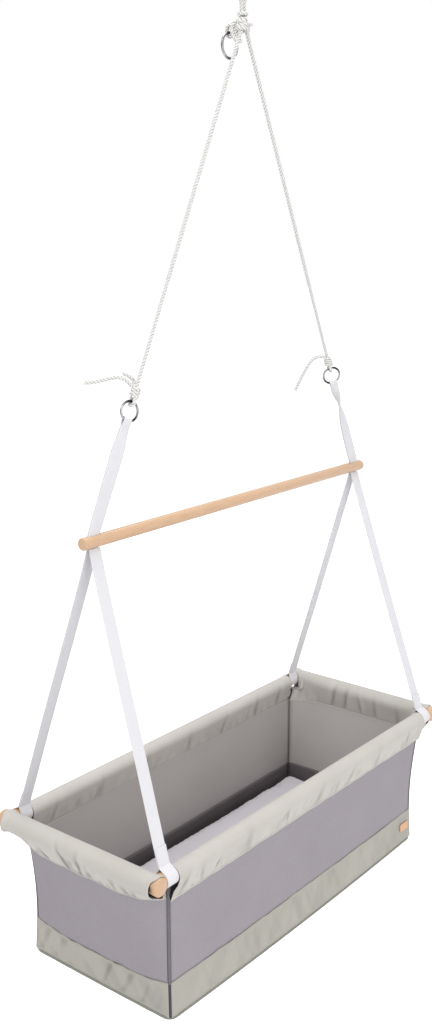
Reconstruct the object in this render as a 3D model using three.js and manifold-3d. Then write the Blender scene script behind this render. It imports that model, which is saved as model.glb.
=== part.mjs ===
// A hanging baby cradle: a fabric crib on four rim dowels, webbing straps, a spreader bar and a rope sling.
// Lengths are millimetres and +Z is up. The origin is where a hook bears inside the rope loop at the top.
// X runs along the crib, the near long side is -Y, and "left" is -X.
import * as THREE from "three";
import { mergeVertices } from "three/addons/utils/BufferGeometryUtils.js";
import Module from "manifold-3d";

const wasm = await Module();
wasm.setup();

// Driving sizes of the whole
const rimBelowHook = 1365; // hook to the axes of the rim dowels
const barAboveRim = 507;
const ringAboveRim = 700; // centres of the two side rings
const ringHalfSpacing = 286;
const slotSpread = 87; // the strap slots in the spreader bar stand this far outside the rings
const cribLength = 850; // between the axes of the short dowels
const cribWidth = 330; // between the axes of the long dowels
const cribDepth = 268; // rim axes to the underside of the base

// Fits
const gap = 0.3; // between pieces that touch
const runningGap = 0.5; // between pieces that turn on each other
const overrun = 4; // how far a cutter passes its work

// Rope and its knots
const ropeDiameter = 7;
const eyeHalfWidth = 11.5; // hanging loop, centre of the rope at its widest
const eyeDrop = 16; // from the hook down to the widest place
const neckDrop = 35; // from the hook down to where the two strands meet
const neckHalfSpacing = 4.1;
const collarDrop = 43; // from the hook to the top of the collar turn
const collarHeight = 12;
const collarRadius = 9.5;
const pivotDrop = 60; // from the hook to the middle of the knot
const knotDomeRadius = 9.5;
const knotReach = 20; // the knot ends and the two rope legs start this far from its middle
const wrapRadius = 7.2; // centre of the rope in the knot's two turns
const upperWrapDrop = 5; // below the middle of the knot
const lowerWrapDrop = 11.5;
const wrapTiltDeg = 11;
const lobeReach = 14.5; // the turn that the right leg comes out of
const stubReach = 15; // the cut end beside the knot
const stubDrop = 3.4;
const stubTurnDeg = -25;
const bightHighDrop = 3.6; // where the two strands of the ring's bight leave the knot
const bightLowDrop = 10;
const legAim = { left: -6, right: 12 }; // where the legs meet the knot, along X
const legAimDrop = 18; // and below its middle

// Chrome rings
const sideRingOuter = 36;
const sideRingWire = 4;
const topRingOuter = 44.5;
const topRingWire = 4.5;
const topRingOut = 24.5; // from the rope's line, along Y
const topRingAlong = -3; // and along X
const topRingDrop = 75; // from the hook to the wire at the ring's top
const ringTurnDeg = { left: -12, right: -40 }; // how far each side ring has turned about its pull

// Knots on the side rings, measured from the ring's centre along the pull
const sideKnotTurns = 3;
const sideKnotFirst = 25.5;
const sideKnotPitch = 6.9;
const sideKnotWrapRadius = 4.9;
const sideKnotLeanDeg = 9;
const sideKnotCore = 5;

// Webbing
const webWidth = 25;
const webThickness = 1.4;
const webLayerGap = 0.4;
const webGatheredWidth = 15; // where it is drawn together round a ring
const webRingGap = 0.8; // it is curved across, so it takes more room on the wire
const webGatherLength = 60;
const webOpenLength = 14; // where the two layers part to go round the wire
const loopHeight = 46; // dowel axis to where the strap's loop is sewn shut
const loopSeam = 30;

// Wood
const barDiameter = 20;
const barEndReach = 25; // bar past the middle of each slot
const barChamfer = 1.6;
const slotWidth = 4;
const slotEndRoom = 1.4;
const longDowelDiameter = 25;
const shortDowelDiameter = 30;
const dowelOverhang = 14; // short dowel past the axis of the long dowel
const dowelChamfer = 1.5;

// Screws through the short dowels into the long dowels' ends
const screwShank = 4;
const screwLength = 46;
const screwPoint = 5;
const screwHead = 8.4;
const screwHeadHeight = 2.5;
const spotFaceDiameter = 10;
const spotFaceDepth = 2.3;

// Fabric
const sleeveDrop = 45; // rim axes to the sleeves' lower seam
const sleeveSlack = 1.3; // between a dowel and its sleeve at the sides
const sleeveCloth = 1.6;
const hemHeight = 10;
const sleeveOpenDeg = 20; // below the level of its dowel, where a long sleeve leaves the round
const tunnelFromDeg = -40; // span of a short sleeve's round, from level on the inner side
const tunnelToDeg = 250;
const shortHemInset = 4;
const shortEndTip = { x: 6, z: -22 }; // lowest place of the short sleeves' ends, inward of their dowels
const sleeveShort = 7; // the short sleeves end this far before their dowels' ends
const strapRoom = 1.2; // beside each strap loop on the rim
const notchRoom = 2;
const meshThickness = 2;
const bandHeight = 67;
const bandThickness = 2.4;
const bandProud = 0.6;
const liningThickness = 1;
const liningRise = 80; // above the underside of the base
const bindingSize = 5;
const bindingProud = 1;
const bindingTop = 37; // below the rim axes
const weltDiameter = 5.2;
const weltCorner = 14;
const floorThickness = 2;
const boardThickness = 3;
const boardMargin = 3;
const liningSlack = 0.6; // between the mesh and its lining

// Plan of the walls: how far the seam under the sleeves and the base stand inside the dowels' axes
const seamInset = { x: 36, y: 4 };
const baseInset = { x: 42, y: 7 };
const waist = 5; // how far the walls draw in at half height
const sideBow = 2.5; // and bow in between the corners

// Mattress
const mattressMargin = 12; // inside the foot of the walls
const mattressThickness = 60;
const mattressCrown = 6;
const mattressEdge = 38; // height of its upright side
const mattressDrawIn = 4; // how far the sides pull in between the corners

// Label
const labelLength = 30;
const labelHeight = 17;
const labelThickness = 1.2;
const labelCorner = 3;
const labelFromCorner = 27; // its centre from the right end of the near band

// Shares of the sizes above
const eyeShoulderShares = { across: 0.62, down: 0.45 };
const eyeCrownShares = { across: 0.78, down: 0.25 };
const collarRoundShare = 0.3;
const bightShares = { out: 0.45, beyond: 0.8, up: 0.6 };
const lobeShares = { out: 0.72, down: 0.4 };
const tailStepShare = 0.6; // steps of a tail's solid for each point of its route
const tailTurnShare = 1.5; // turns up the side knot, where the tails leave it
const strapTwistShare = 0.15; // share of its height over which an upper strap stays square to the bar
const screwDomeShares = [[0.5, 0.92], [0.85, 0.6]];
const fanRateShare = 1.6; // how fast the walls come in under the sleeves
const cornerRateShare = 6; // and how close to the corners they stay out
const mattressRoundShare = 0.07; // share of half the plan that the rounded edge takes

// Derived places
const ropeRadius = ropeDiameter / 2;
const pivot = new THREE.Vector3(0, 0, -pivotDrop);
const rimZ = -rimBelowHook;
const barZ = rimZ + barAboveRim;
const ringZ = rimZ + ringAboveRim;
const slotHalfSpacing = ringHalfSpacing + slotSpread;
const barLength = 2 * (slotHalfSpacing + barEndReach);
const barRadius = barDiameter / 2;
const longRadius = longDowelDiameter / 2;
const shortRadius = shortDowelDiameter / 2;
const sideRingRadius = (sideRingOuter - sideRingWire) / 2;
const topRingRadius = (topRingOuter - topRingWire) / 2;
const halfLength = cribLength / 2;
const halfWidth = cribWidth / 2;
const cornerTop = { x: halfLength - seamInset.x, y: halfWidth - seamInset.y };
const cornerBase = { x: halfLength - baseInset.x, y: halfWidth - baseInset.y };
const mattressLength = 2 * (cornerBase.x - mattressMargin);
const mattressWidth = 2 * (cornerBase.y - mattressMargin);
const sideKnotTop = sideKnotFirst + sideKnotPitch * (sideKnotTurns - 1) + ropeRadius + gap;
const strapX = halfLength - shortRadius - strapRoom - webWidth / 2;
const longSleeveEnd = strapX - webWidth / 2 - strapRoom;
const weltZ = -cribDepth + weltDiameter / 2;
const bandTop = -cribDepth + bandHeight;
const bandBottom = weltZ + weltDiameter / 2 + gap;
const floorTop = -cribDepth + floorThickness;
const boardTop = floorTop + gap + boardThickness;
const mattressBottom = boardTop + gap;

const sides = { left: -1, right: 1 };
const faces = { near: -1, far: 1 };

// Materials, with the colours and finishes of the pieces
function finish(color, roughness, metalness = 0) {
  return new THREE.MeshStandardMaterial({ color, roughness, metalness, side: THREE.DoubleSide });
}
const materials = {
  rope: finish(0xe6e6e1, 0.85),
  webbing: finish(0xe2dfea, 0.7),
  chrome: finish(0xd5d7da, 0.12, 1),
  wood: finish(0xdcb48c, 0.55),
  steel: finish(0xc2c4c6, 0.3, 1),
  sleeve: finish(0xb6b5aa, 0.6),
  mesh: finish(0xa39ea3, 0.8),
  lining: finish(0x5e5859, 0.85),
  welt: finish(0x8f9187, 0.7),
  binding: finish(0x55505a, 0.8),
  board: finish(0x9a7c58, 0.7),
  mattress: finish(0xdcd9dd, 0.9),
  leather: finish(0xd8ad84, 0.65),
};

const vec = (x, y, z) => new THREE.Vector3(x, y, z);
const radians = THREE.MathUtils.degToRad;
const lerp = THREE.MathUtils.lerp;

// Geometry tools

// A closed surface as a solid. Only the positions count, and its faces are made to point out.
function solid(geometry, matrix = new THREE.Matrix4()) {
  const bare = new THREE.BufferGeometry();
  bare.setAttribute("position", geometry.getAttribute("position").clone());
  if (geometry.index) bare.setIndex(geometry.index.clone());
  bare.applyMatrix4(matrix);
  const merged = mergeVertices(bare, 1e-3);
  const triVerts = new Uint32Array(merged.index.array);
  const vertProperties = new Float32Array(merged.attributes.position.array);
  if (signedVolume(vertProperties, triVerts) < 0) triVerts.reverse();
  return new wasm.Manifold(new wasm.Mesh({ numProp: 3, vertProperties, triVerts }));
}

function signedVolume(positions, index) {
  const corner = (i) => new THREE.Vector3().fromArray(positions, 3 * index[i]);
  let sum = 0;
  for (let i = 0; i < index.length; i += 3) sum += corner(i).dot(corner(i + 1).cross(corner(i + 2)));
  return sum;
}

function geometryOf(made) {
  const mesh = made.getMesh();
  const geometry = new THREE.BufferGeometry();
  const count = mesh.vertProperties.length / mesh.numProp;
  const positions = new Float32Array(3 * count);
  for (let i = 0; i < count; i++) {
    positions.set(mesh.vertProperties.subarray(i * mesh.numProp, i * mesh.numProp + 3), 3 * i);
  }
  geometry.setAttribute("position", new THREE.BufferAttribute(positions, 3));
  geometry.setIndex(new THREE.BufferAttribute(new Uint32Array(mesh.triVerts), 1));
  geometry.computeVertexNormals();
  return geometry;
}

const fuse = (solids) => solids.reduce((all, next) => all.add(next));
const cut = (body, tools) => tools.reduce((left, tool) => left.subtract(tool), body);
const largest = (made) => made.decompose().sort((a, b) => b.volume() - a.volume())[0];

// A round bar along a smooth curve through the points.
function tube(points, radius, steps, roundness = 8) {
  const outline = new THREE.Shape(
    Array.from({ length: roundness }, (_, i) => {
      const angle = (2 * Math.PI * (i + 0.5)) / roundness;
      return new THREE.Vector2(radius * Math.cos(angle), radius * Math.sin(angle));
    }),
  );
  const straight = points.length === 2;
  const extrudePath = straight ? new THREE.LineCurve3(...points) : new THREE.CatmullRomCurve3(points);
  return solid(new THREE.ExtrudeGeometry(outline, { steps, bevelEnabled: false, extrudePath }));
}

// A straight cylinder between two points.
function rod(from, to, radius, roundness = 24) {
  const axis = to.clone().sub(from);
  const geometry = new THREE.CylinderGeometry(radius, radius, axis.length(), roundness);
  const turn = new THREE.Quaternion().setFromUnitVectors(vec(0, 1, 0), axis.clone().normalize());
  const middle = from.clone().lerp(to, 0.5);
  return solid(geometry, new THREE.Matrix4().compose(middle, turn, vec(1, 1, 1)));
}

function ball(centre, radius, roundness = 24) {
  const geometry = new THREE.SphereGeometry(radius, roundness, roundness / 2);
  return solid(geometry, new THREE.Matrix4().makeTranslation(centre));
}

// A ring of round wire about the given centre, its hole facing the given axis.
function wireRing(centre, axis, radius, wire, around = 28, about = 8) {
  const geometry = new THREE.TorusGeometry(radius, wire / 2, about, around);
  const turn = new THREE.Quaternion().setFromUnitVectors(vec(0, 0, 1), axis);
  return solid(geometry, new THREE.Matrix4().compose(centre, turn, vec(1, 1, 1)));
}

// A revolved profile of [radius, height] pairs, its axis laid along the given direction from a point.
function revolved(profile, from, along, roundness = 24) {
  const points = profile.map(([radius, height]) => new THREE.Vector2(radius, height));
  const turn = new THREE.Quaternion().setFromUnitVectors(vec(0, 1, 0), along);
  const geometry = new THREE.LatheGeometry(points, roundness);
  return solid(geometry, new THREE.Matrix4().compose(from, turn, vec(1, 1, 1)));
}

// A block between two opposite corners.
function blockBetween(from, to) {
  const size = to.clone().sub(from);
  const box = new THREE.BoxGeometry(Math.abs(size.x), Math.abs(size.y), Math.abs(size.z));
  return solid(box, new THREE.Matrix4().makeTranslation(from.clone().lerp(to, 0.5)));
}

// A flat outline in the plane of the first two axes, drawn out along the third.
function prism(shape, depth, xAxis, yAxis, start, curveSegments = 8) {
  const geometry = new THREE.ExtrudeGeometry(shape, { depth, bevelEnabled: false, curveSegments });
  const matrix = new THREE.Matrix4().makeBasis(xAxis, yAxis, xAxis.clone().cross(yAxis));
  return solid(geometry, matrix.setPosition(start));
}

// A sheet with a front and a back: grid[i][k] holds the two points that lie over each other.
function slab(grid) {
  const rows = grid.length;
  const columns = grid[0].length;
  const index = [];
  const at = (i, k, face) => 2 * (i * columns + k) + face;
  const quad = (a, b, c, d) => index.push(a, b, c, a, c, d);
  const last = { row: rows - 1, column: columns - 1 };
  for (let i = 0; i < last.row; i++) {
    for (let k = 0; k < last.column; k++) {
      quad(at(i, k, 0), at(i + 1, k, 0), at(i + 1, k + 1, 0), at(i, k + 1, 0));
      quad(at(i, k, 1), at(i, k + 1, 1), at(i + 1, k + 1, 1), at(i + 1, k, 1));
    }
    quad(at(i, 0, 0), at(i, 0, 1), at(i + 1, 0, 1), at(i + 1, 0, 0));
    quad(at(i, last.column, 0), at(i + 1, last.column, 0), at(i + 1, last.column, 1), at(i, last.column, 1));
  }
  for (let k = 0; k < last.column; k++) {
    quad(at(0, k, 0), at(0, k + 1, 0), at(0, k + 1, 1), at(0, k, 1));
    quad(at(last.row, k, 0), at(last.row, k, 1), at(last.row, k + 1, 1), at(last.row, k + 1, 0));
  }
  const geometry = new THREE.BufferGeometry();
  const positions = grid.flat(2).flatMap((point) => point.toArray());
  geometry.setAttribute("position", new THREE.Float32BufferAttribute(positions, 3));
  geometry.setIndex(index);
  return solid(geometry);
}

// A strap through stations of {at, across, normal, width, rise}. rise lifts a point by its distance
// from the strap's middle, for a strap that is curved across.
function ribbon(stations, columns) {
  const shares = Array.from({ length: columns + 1 }, (_, k) => k / columns - 0.5);
  return slab(
    stations.map(({ at, across, normal, width, rise }) =>
      shares.map((share) => {
        const middle = at.clone().addScaledVector(across, share * width);
        if (rise) middle.add(rise(share * width));
        const half = normal.clone().multiplyScalar(webThickness / 2);
        return [middle.clone().add(half), middle.clone().sub(half)];
      }),
    ),
  );
}

// A closed surface through rings of points, joined end to end or closed flat at both ends.
function skin(rings, joined) {
  const count = rings[0].length;
  const index = [];
  const lastRing = rings.length - 1;
  for (let i = 0; i < (joined ? rings.length : lastRing); i++) {
    const next = (i + 1) % rings.length;
    for (let k = 0; k < count; k++) {
      const up = (k + 1) % count;
      const [a, b, c, d] = [i * count + k, next * count + k, next * count + up, i * count + up];
      index.push(a, b, c, a, c, d);
    }
  }
  const far = lastRing * count;
  for (let k = 1; k < (joined ? 0 : count - 1); k++) index.push(0, k, k + 1, far, far + k + 1, far + k);
  const geometry = new THREE.BufferGeometry();
  const positions = rings.flat().flatMap((point) => point.toArray());
  geometry.setAttribute("position", new THREE.Float32BufferAttribute(positions, 3));
  geometry.setIndex(index);
  return solid(geometry);
}

// A round cord along a closed path of points in one level plane.
function closedTube(points, radius, roundness) {
  const count = points.length;
  const rings = points.map((point, i) => {
    const ahead = points[(i + 1) % count].clone().sub(points[(i + count - 1) % count]).normalize();
    const out = vec(ahead.y, -ahead.x, 0);
    return Array.from({ length: roundness }, (_, k) => {
      const angle = (2 * Math.PI * k) / roundness;
      const level = point.clone().addScaledVector(out, radius * Math.cos(angle));
      return level.add(vec(0, 0, radius * Math.sin(angle)));
    });
  });
  return skin(rings, true);
}

// Scene graph: what hangs is measured from the hook, and the crib from its rim
const cradle = new THREE.Group();
const crib = new THREE.Group();
crib.position.z = rimZ;
cradle.add(crib);

function add(parent, name, made, material) {
  const mesh = new THREE.Mesh(geometryOf(made), material);
  mesh.name = name;
  parent.add(mesh);
}

// Hanging loop and the knot under it

function hangingLoop() {
  const shoulder = [
    lerp(neckHalfSpacing, eyeHalfWidth, eyeShoulderShares.across),
    -lerp(neckDrop, eyeDrop, eyeShoulderShares.down),
  ];
  const side = [
    [neckHalfSpacing, -collarDrop + gap],
    [neckHalfSpacing, -neckDrop],
    shoulder,
    [eyeHalfWidth, -eyeDrop],
    [eyeHalfWidth * eyeCrownShares.across, -eyeDrop * eyeCrownShares.down],
  ];
  const right = side.map(([x, z]) => vec(x, 0, z));
  const left = side.map(([x, z]) => vec(-x, 0, z)).reverse();
  return tube([...right, vec(0, 0, ropeRadius), ...left], ropeRadius, 26);
}

// One turn round both strands, hollowed below so that the knot can swing in it
function collarTurn() {
  const top = -collarDrop;
  const bottom = top - collarHeight;
  const round = collarHeight * collarRoundShare;
  const profile = [
    [0, bottom],
    [collarRadius - round, bottom],
    [collarRadius, bottom + round],
    [collarRadius, top - round],
    [collarRadius - round, top],
    [0, top],
  ];
  return cut(revolved(profile, vec(0, 0, 0), vec(0, 0, 1), 20), [ball(pivot, knotDomeRadius + runningGap)]);
}

// The bight that holds the top ring: out of the knot, under the ring's wire and back
function ringBight() {
  const wrap = topRingWire / 2 + runningGap + ropeRadius;
  const high = -pivotDrop - bightHighDrop;
  const low = -pivotDrop - bightLowDrop;
  const under = Array.from({ length: 5 }, (_, i) => {
    const angle = Math.PI * (1 + i / 4);
    return [topRingOut + wrap * Math.cos(angle), -topRingDrop + wrap * Math.sin(angle)];
  });
  const route = [
    [ropeRadius, low],
    [topRingOut * bightShares.out, low],
    ...under,
    [topRingOut + wrap * bightShares.beyond, lerp(-topRingDrop, high, bightShares.up)],
    [topRingOut, high],
    [ropeRadius, high],
  ];
  return tube(route.map(([y, z]) => vec(topRingAlong, y, z)), ropeRadius, 26);
}

// Where a leg's line leaves the knot, moved down the leg by a length
const legTop = (side, down) => {
  const place = vec(legAim[side], 0, -pivotDrop - legAimDrop);
  return place.addScaledVector(slingEnd(side).up, -down);
};

function topKnot() {
  const tilt = radians(wrapTiltDeg);
  const below = (drop, x = 0) => vec(x, 0, -pivotDrop - drop);
  const turn = (drop, lean) =>
    wireRing(below(drop), vec(Math.sin(lean), 0, Math.cos(lean)), wrapRadius, ropeDiameter, 16);
  const lobe = [
    below(upperWrapDrop, ropeRadius),
    below(upperWrapDrop, lobeReach * lobeShares.out),
    below(lerp(upperWrapDrop, legAimDrop, lobeShares.down), lobeReach),
    legTop("right", 0),
    legTop("right", overrun),
  ];
  const leftRoot = [below(upperWrapDrop), legTop("left", -ropeRadius), legTop("left", overrun)];
  const stub = vec(stubReach, 0, 0).applyAxisAngle(vec(0, 0, 1), radians(stubTurnDeg)).add(below(stubDrop));
  const body = fuse([
    ball(pivot, knotDomeRadius),
    turn(upperWrapDrop, -tilt),
    turn(lowerWrapDrop, tilt),
    tube(lobe, ropeRadius, 10),
    tube(leftRoot, ropeRadius, 6),
    rod(below(stubDrop), stub, ropeRadius, 10),
  ]);
  return body.intersect(ball(pivot, knotReach)).add(ringBight());
}

// Each end of the sling: the frame of its ring, with up along the pull of the rope
function slingEnd(side) {
  const centre = vec(sides[side] * ringHalfSpacing, 0, ringZ);
  const up = vec(legAim[side], 0, -pivotDrop - legAimDrop).sub(centre).normalize();
  const normal = vec(0, -1, 0).applyAxisAngle(up, radians(ringTurnDeg[side]));
  const across = normal.clone().cross(up);
  return { centre, up, normal, across };
}

const along = (end, distance) => end.centre.clone().addScaledVector(end.up, distance);

function ropeLeg(end, side) {
  const aim = vec(legAim[side], 0, -pivotDrop - legAimDrop);
  const leg = rod(along(end, sideKnotTop + gap), aim.addScaledVector(end.up, overrun), ropeRadius, 12);
  return cut(leg, [ball(pivot, knotReach + runningGap)]);
}

// The free rope ends, as hand-laid routes
const tailRoutes = {
  left: {
    rope_tail_left_long: [
      vec(-277.2, 4.9, -624.2),
      vec(-278.9, 7.1, -621.5),
      vec(-280.8, 9.1, -618.7),
      vec(-282.9, 11.5, -616.3),
      vec(-285.3, 14.4, -614.3),
      vec(-288.2, 18.0, -613.2),
      vec(-291.9, 22.6, -613.2),
      vec(-296.1, 27.8, -614.3),
      vec(-300.5, 33.2, -615.9),
      vec(-304.9, 38.6, -617.5),
      vec(-309.1, 43.8, -618.9),
      vec(-312.9, 48.6, -620.1),
      vec(-316.5, 53.2, -621.0),
      vec(-319.7, 57.6, -621.5),
      vec(-322.5, 61.8, -621.6),
    ],
    rope_tail_left_short: [
      vec(-263.1, 13.7, -618.4),
      vec(-264.2, 14.9, -616.4),
      vec(-265.3, 16.2, -614.6),
      vec(-266.5, 17.6, -613.1),
      vec(-267.8, 19.2, -611.9),
      vec(-269.1, 20.8, -610.9),
      vec(-270.4, 22.5, -610.2),
      vec(-271.8, 24.2, -609.7),
      vec(-273.2, 25.9, -609.4),
    ],
  },
  right: {
    rope_tail_right: [
      vec(267.2, 8.3, -628.3),
      vec(264.8, 11.1, -627.5),
      vec(262.2, 14.2, -627.7),
      vec(259.7, 17.4, -628.9),
      vec(257.3, 20.6, -631.0),
      vec(255.1, 23.7, -634.0),
      vec(253.0, 26.6, -638.0),
      vec(251.0, 29.4, -642.8),
      vec(249.1, 32.2, -648.4),
      vec(247.2, 35.0, -654.6),
      vec(245.3, 37.8, -661.2),
      vec(243.4, 40.6, -668.0),
      vec(241.5, 43.3, -674.8),
      vec(239.7, 45.9, -681.4),
      vec(238.0, 48.2, -687.6),
      vec(236.4, 50.2, -693.1),
    ],
  },
};

// The rope's end leaves the knot on a short bend and runs on as a tail
function tailRoot(end, [start, next]) {
  const heading = next.clone().sub(start).normalize();
  const outward = start.clone().sub(end.centre);
  outward.addScaledVector(end.up, -outward.dot(end.up)).setLength(sideKnotWrapRadius);
  const root = along(end, sideKnotFirst + sideKnotPitch * tailTurnShare).add(outward);
  const elbow = start.clone().addScaledVector(heading, -ropeRadius);
  const face = start.clone().addScaledVector(heading, -gap);
  const bend = ball(elbow, ropeRadius, 10);
  return fuse([rod(root, elbow, ropeRadius, 10), bend, rod(elbow, face, ropeRadius, 10)]);
}

// The rope's eye round the ring's wire and the turns above it
function sideKnot(end, side) {
  const wrap = sideRingWire / 2 + runningGap + ropeRadius;
  const steps = 6;
  const eye = Array.from({ length: steps + 1 }, (_, i) => {
    const angle = (Math.PI * i) / steps;
    const place = along(end, sideRingRadius - wrap * Math.sin(angle));
    return place.addScaledVector(end.normal, wrap * Math.cos(angle));
  });
  const neck = (sign) => along(end, sideKnotFirst).addScaledVector(end.normal, sign * ropeRadius);
  const turns = Array.from({ length: sideKnotTurns }, (_, i) => {
    const lean = radians(i % 2 ? -sideKnotLeanDeg : sideKnotLeanDeg);
    const axis = end.up.clone().applyAxisAngle(end.normal, lean);
    const middle = along(end, sideKnotFirst + sideKnotPitch * i);
    return wireRing(middle, axis, sideKnotWrapRadius, ropeDiameter, 12);
  });
  const core = rod(along(end, sideKnotFirst), along(end, sideKnotTop), sideKnotCore, 12);
  const roots = Object.values(tailRoutes[side]).map((route) => tailRoot(end, route));
  return fuse([tube([neck(1), ...eye, neck(-1)], ropeRadius, 12), core, ...turns, ...roots]);
}

add(cradle, "hanging_loop", hangingLoop(), materials.rope);
add(cradle, "collar_turn", collarTurn(), materials.rope);
add(cradle, "top_knot", topKnot(), materials.rope);
const topRingCentre = vec(topRingAlong, topRingOut, -topRingDrop - topRingRadius);
add(cradle, "top_ring", wireRing(topRingCentre, vec(0, 1, 0), topRingRadius, topRingWire), materials.chrome);
for (const routes of Object.values(tailRoutes)) {
  for (const [name, route] of Object.entries(routes)) {
    add(cradle, name, tube(route, ropeRadius, Math.ceil(route.length * tailStepShare)), materials.rope);
  }
}

// Straps

// From the slot in the bar up through the ring and back, as two layers that lie together
function upperStrap(end, side) {
  const slot = vec(sides[side] * slotHalfSpacing, 0, barZ);
  const barTop = slot.clone().add(vec(0, 0, barRadius));
  const pull = barTop.clone().sub(end.centre).normalize();
  const wire = end.centre.clone().addScaledVector(pull, sideRingRadius);
  const span = wire.distanceTo(barTop);
  const layer = (webThickness + webLayerGap) / 2;
  const round = sideRingWire / 2 + webRingGap + webThickness / 2;
  const cup = (lift) => (offset) =>
    pull.clone().multiplyScalar(-lift * (sideRingRadius - Math.sqrt(sideRingRadius ** 2 - offset ** 2)));
  const frameAt = (height) => {
    const share = THREE.MathUtils.clamp(height / span, 0, 1);
    const slant = vec(0, 0, -1).lerp(pull, THREE.MathUtils.smoothstep(height, 0, webWidth)).normalize();
    const turn = radians(ringTurnDeg[side]) * THREE.MathUtils.smootherstep(share, strapTwistShare, 1);
    const normal = vec(0, -1, 0).applyAxisAngle(pull, -turn);
    return { normal, across: normal.clone().cross(slant).normalize() };
  };
  const layerAt = (height, sign) => {
    const { normal, across } = frameAt(height);
    const near = THREE.MathUtils.smoothstep(height, span - webOpenLength, span);
    const lift = THREE.MathUtils.smoothstep(height, span - webGatherLength / 2, span - webOpenLength / 2);
    const gathered = THREE.MathUtils.smoothstep(height, span - webGatherLength, span);
    const middle = barTop.clone().lerp(wire, Math.max(height, 0) / span).add(vec(0, 0, Math.min(height, 0)));
    return {
      at: middle.addScaledVector(normal, sign * lerp(layer, round, near)),
      across,
      normal: normal.clone().multiplyScalar(sign),
      width: lerp(webWidth, webGatheredWidth, gathered),
      rise: cup(lift),
    };
  };
  const depth = barDiameter - webThickness;
  const heights = [-depth, 0, webWidth / 2, webWidth];
  const gather = span - webGatherLength;
  for (let i = 1; i <= 3; i++) heights.push(lerp(webWidth, gather, i / 3));
  for (let i = 1; i <= 7; i++) heights.push(lerp(gather, span, i / 7));
  const stations = heights.map((height) => layerAt(height, 1));
  const { normal, across } = frameAt(span);
  const turnSteps = 8;
  for (let i = 1; i < turnSteps; i++) {
    const angle = (Math.PI * i) / turnSteps;
    const out = normal.clone().multiplyScalar(Math.cos(angle)).addScaledVector(pull, -Math.sin(angle));
    stations.push({
      at: wire.clone().addScaledVector(out, round),
      across,
      normal: out,
      width: webGatheredWidth,
      rise: cup(1),
    });
  }
  stations.push(...heights.reverse().map((height) => layerAt(height, -1)));
  return ribbon(stations, 4);
}

for (const side of Object.keys(sides)) {
  const end = slingEnd(side);
  const ring = wireRing(end.centre, end.normal, sideRingRadius, sideRingWire);
  add(cradle, "rope_leg_" + side, ropeLeg(end, side), materials.rope);
  add(cradle, "ring_knot_" + side, sideKnot(end, side), materials.rope);
  add(cradle, "ring_" + side, ring, materials.chrome);
  add(cradle, "upper_strap_" + side, upperStrap(end, side), materials.webbing);
}

// Spreader bar with a mortise for the webbing near each end

function turnedRod(length, radius, chamfer, start, direction) {
  const profile = [
    [0, 0],
    [radius - chamfer, 0],
    [radius, chamfer],
    [radius, length - chamfer],
    [radius - chamfer, length],
    [0, length],
  ];
  return revolved(profile, start, direction);
}

function stadium(length, width) {
  const shape = new THREE.Shape();
  const straight = (length - width) / 2;
  shape.absarc(straight, 0, width / 2, -Math.PI / 2, Math.PI / 2);
  shape.absarc(-straight, 0, width / 2, Math.PI / 2, (3 * Math.PI) / 2);
  return shape;
}

function spreaderBar() {
  const stick = turnedRod(barLength, barRadius, barChamfer, vec(-barLength / 2, 0, barZ), vec(1, 0, 0));
  const slotShape = stadium(webWidth + 2 * slotEndRoom + slotWidth, slotWidth);
  const depth = barDiameter + 2 * overrun;
  const slots = Object.values(sides).map((sign) =>
    prism(slotShape, depth, vec(1, 0, 0), vec(0, 1, 0), vec(sign * slotHalfSpacing, 0, barZ - depth / 2), 4),
  );
  return cut(stick, slots);
}

add(cradle, "spreader_bar", spreaderBar(), materials.wood);

// One lower strap: from under the bar to a sewn loop round the long dowel
function lowerStrap(sideSign, faceSign) {
  const layer = (webThickness + webLayerGap) / 2;
  const wrap = longRadius + gap + webThickness / 2;
  const dowel = vec(sideSign * strapX, faceSign * halfWidth, 0);
  const underBar = barAboveRim - barRadius + webThickness;
  const top = vec(sideSign * slotHalfSpacing, faceSign * (layer + gap), underBar);
  const rise = vec(0, top.y - dowel.y, top.z).normalize();
  const out = vec(0, faceSign * rise.z, -faceSign * rise.y);
  const reach = vec(0, top.y - dowel.y, top.z).length();
  const across = vec(1, 0, 0);
  const straight = (height, sign) => ({
    at: dowel
      .clone()
      .addScaledVector(rise, height)
      .addScaledVector(out, sign * layer * (height > reach - loopHeight ? 0 : 1))
      .setX(lerp(dowel.x, top.x, Math.max(0, height - loopHeight) / (reach - loopHeight))),
    across,
    normal: out.clone().multiplyScalar(sign),
    width: webWidth,
  });
  const stations = [];
  for (let i = 0; i <= 4; i++) stations.push(straight(lerp(reach, loopHeight, i / 4), -1));
  const tangent = Math.acos(wrap / loopHeight);
  const steps = 16;
  for (let i = 0; i <= steps; i++) {
    const angle = lerp(tangent, 2 * Math.PI - tangent, i / steps);
    const away = rise.clone().multiplyScalar(Math.cos(angle)).addScaledVector(out, -Math.sin(angle));
    stations.push({ at: dowel.clone().addScaledVector(away, wrap), across, normal: away, width: webWidth });
  }
  stations.push(straight(loopHeight, 1), straight(loopHeight + loopSeam, 1));
  const barAxis = vec(0, 0, barAboveRim);
  const half = barLength / 2;
  const room = rod(barAxis.clone().setX(-half), barAxis.clone().setX(half), barRadius + runningGap, 48);
  return cut(ribbon(stations, 1), [room]);
}

for (const [side, sideSign] of Object.entries(sides)) {
  for (const [face, faceSign] of Object.entries(faces)) {
    add(crib, `lower_strap_${face}_${side}`, lowerStrap(sideSign, faceSign), materials.webbing);
  }
}

// Rim dowels: the long ones are coped onto the short ones and held by a screw at each corner

const shortHalf = halfWidth + dowelOverhang;
const headSeat = halfLength + shortRadius - spotFaceDepth;
const screwReach = headSeat - screwLength;

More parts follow.
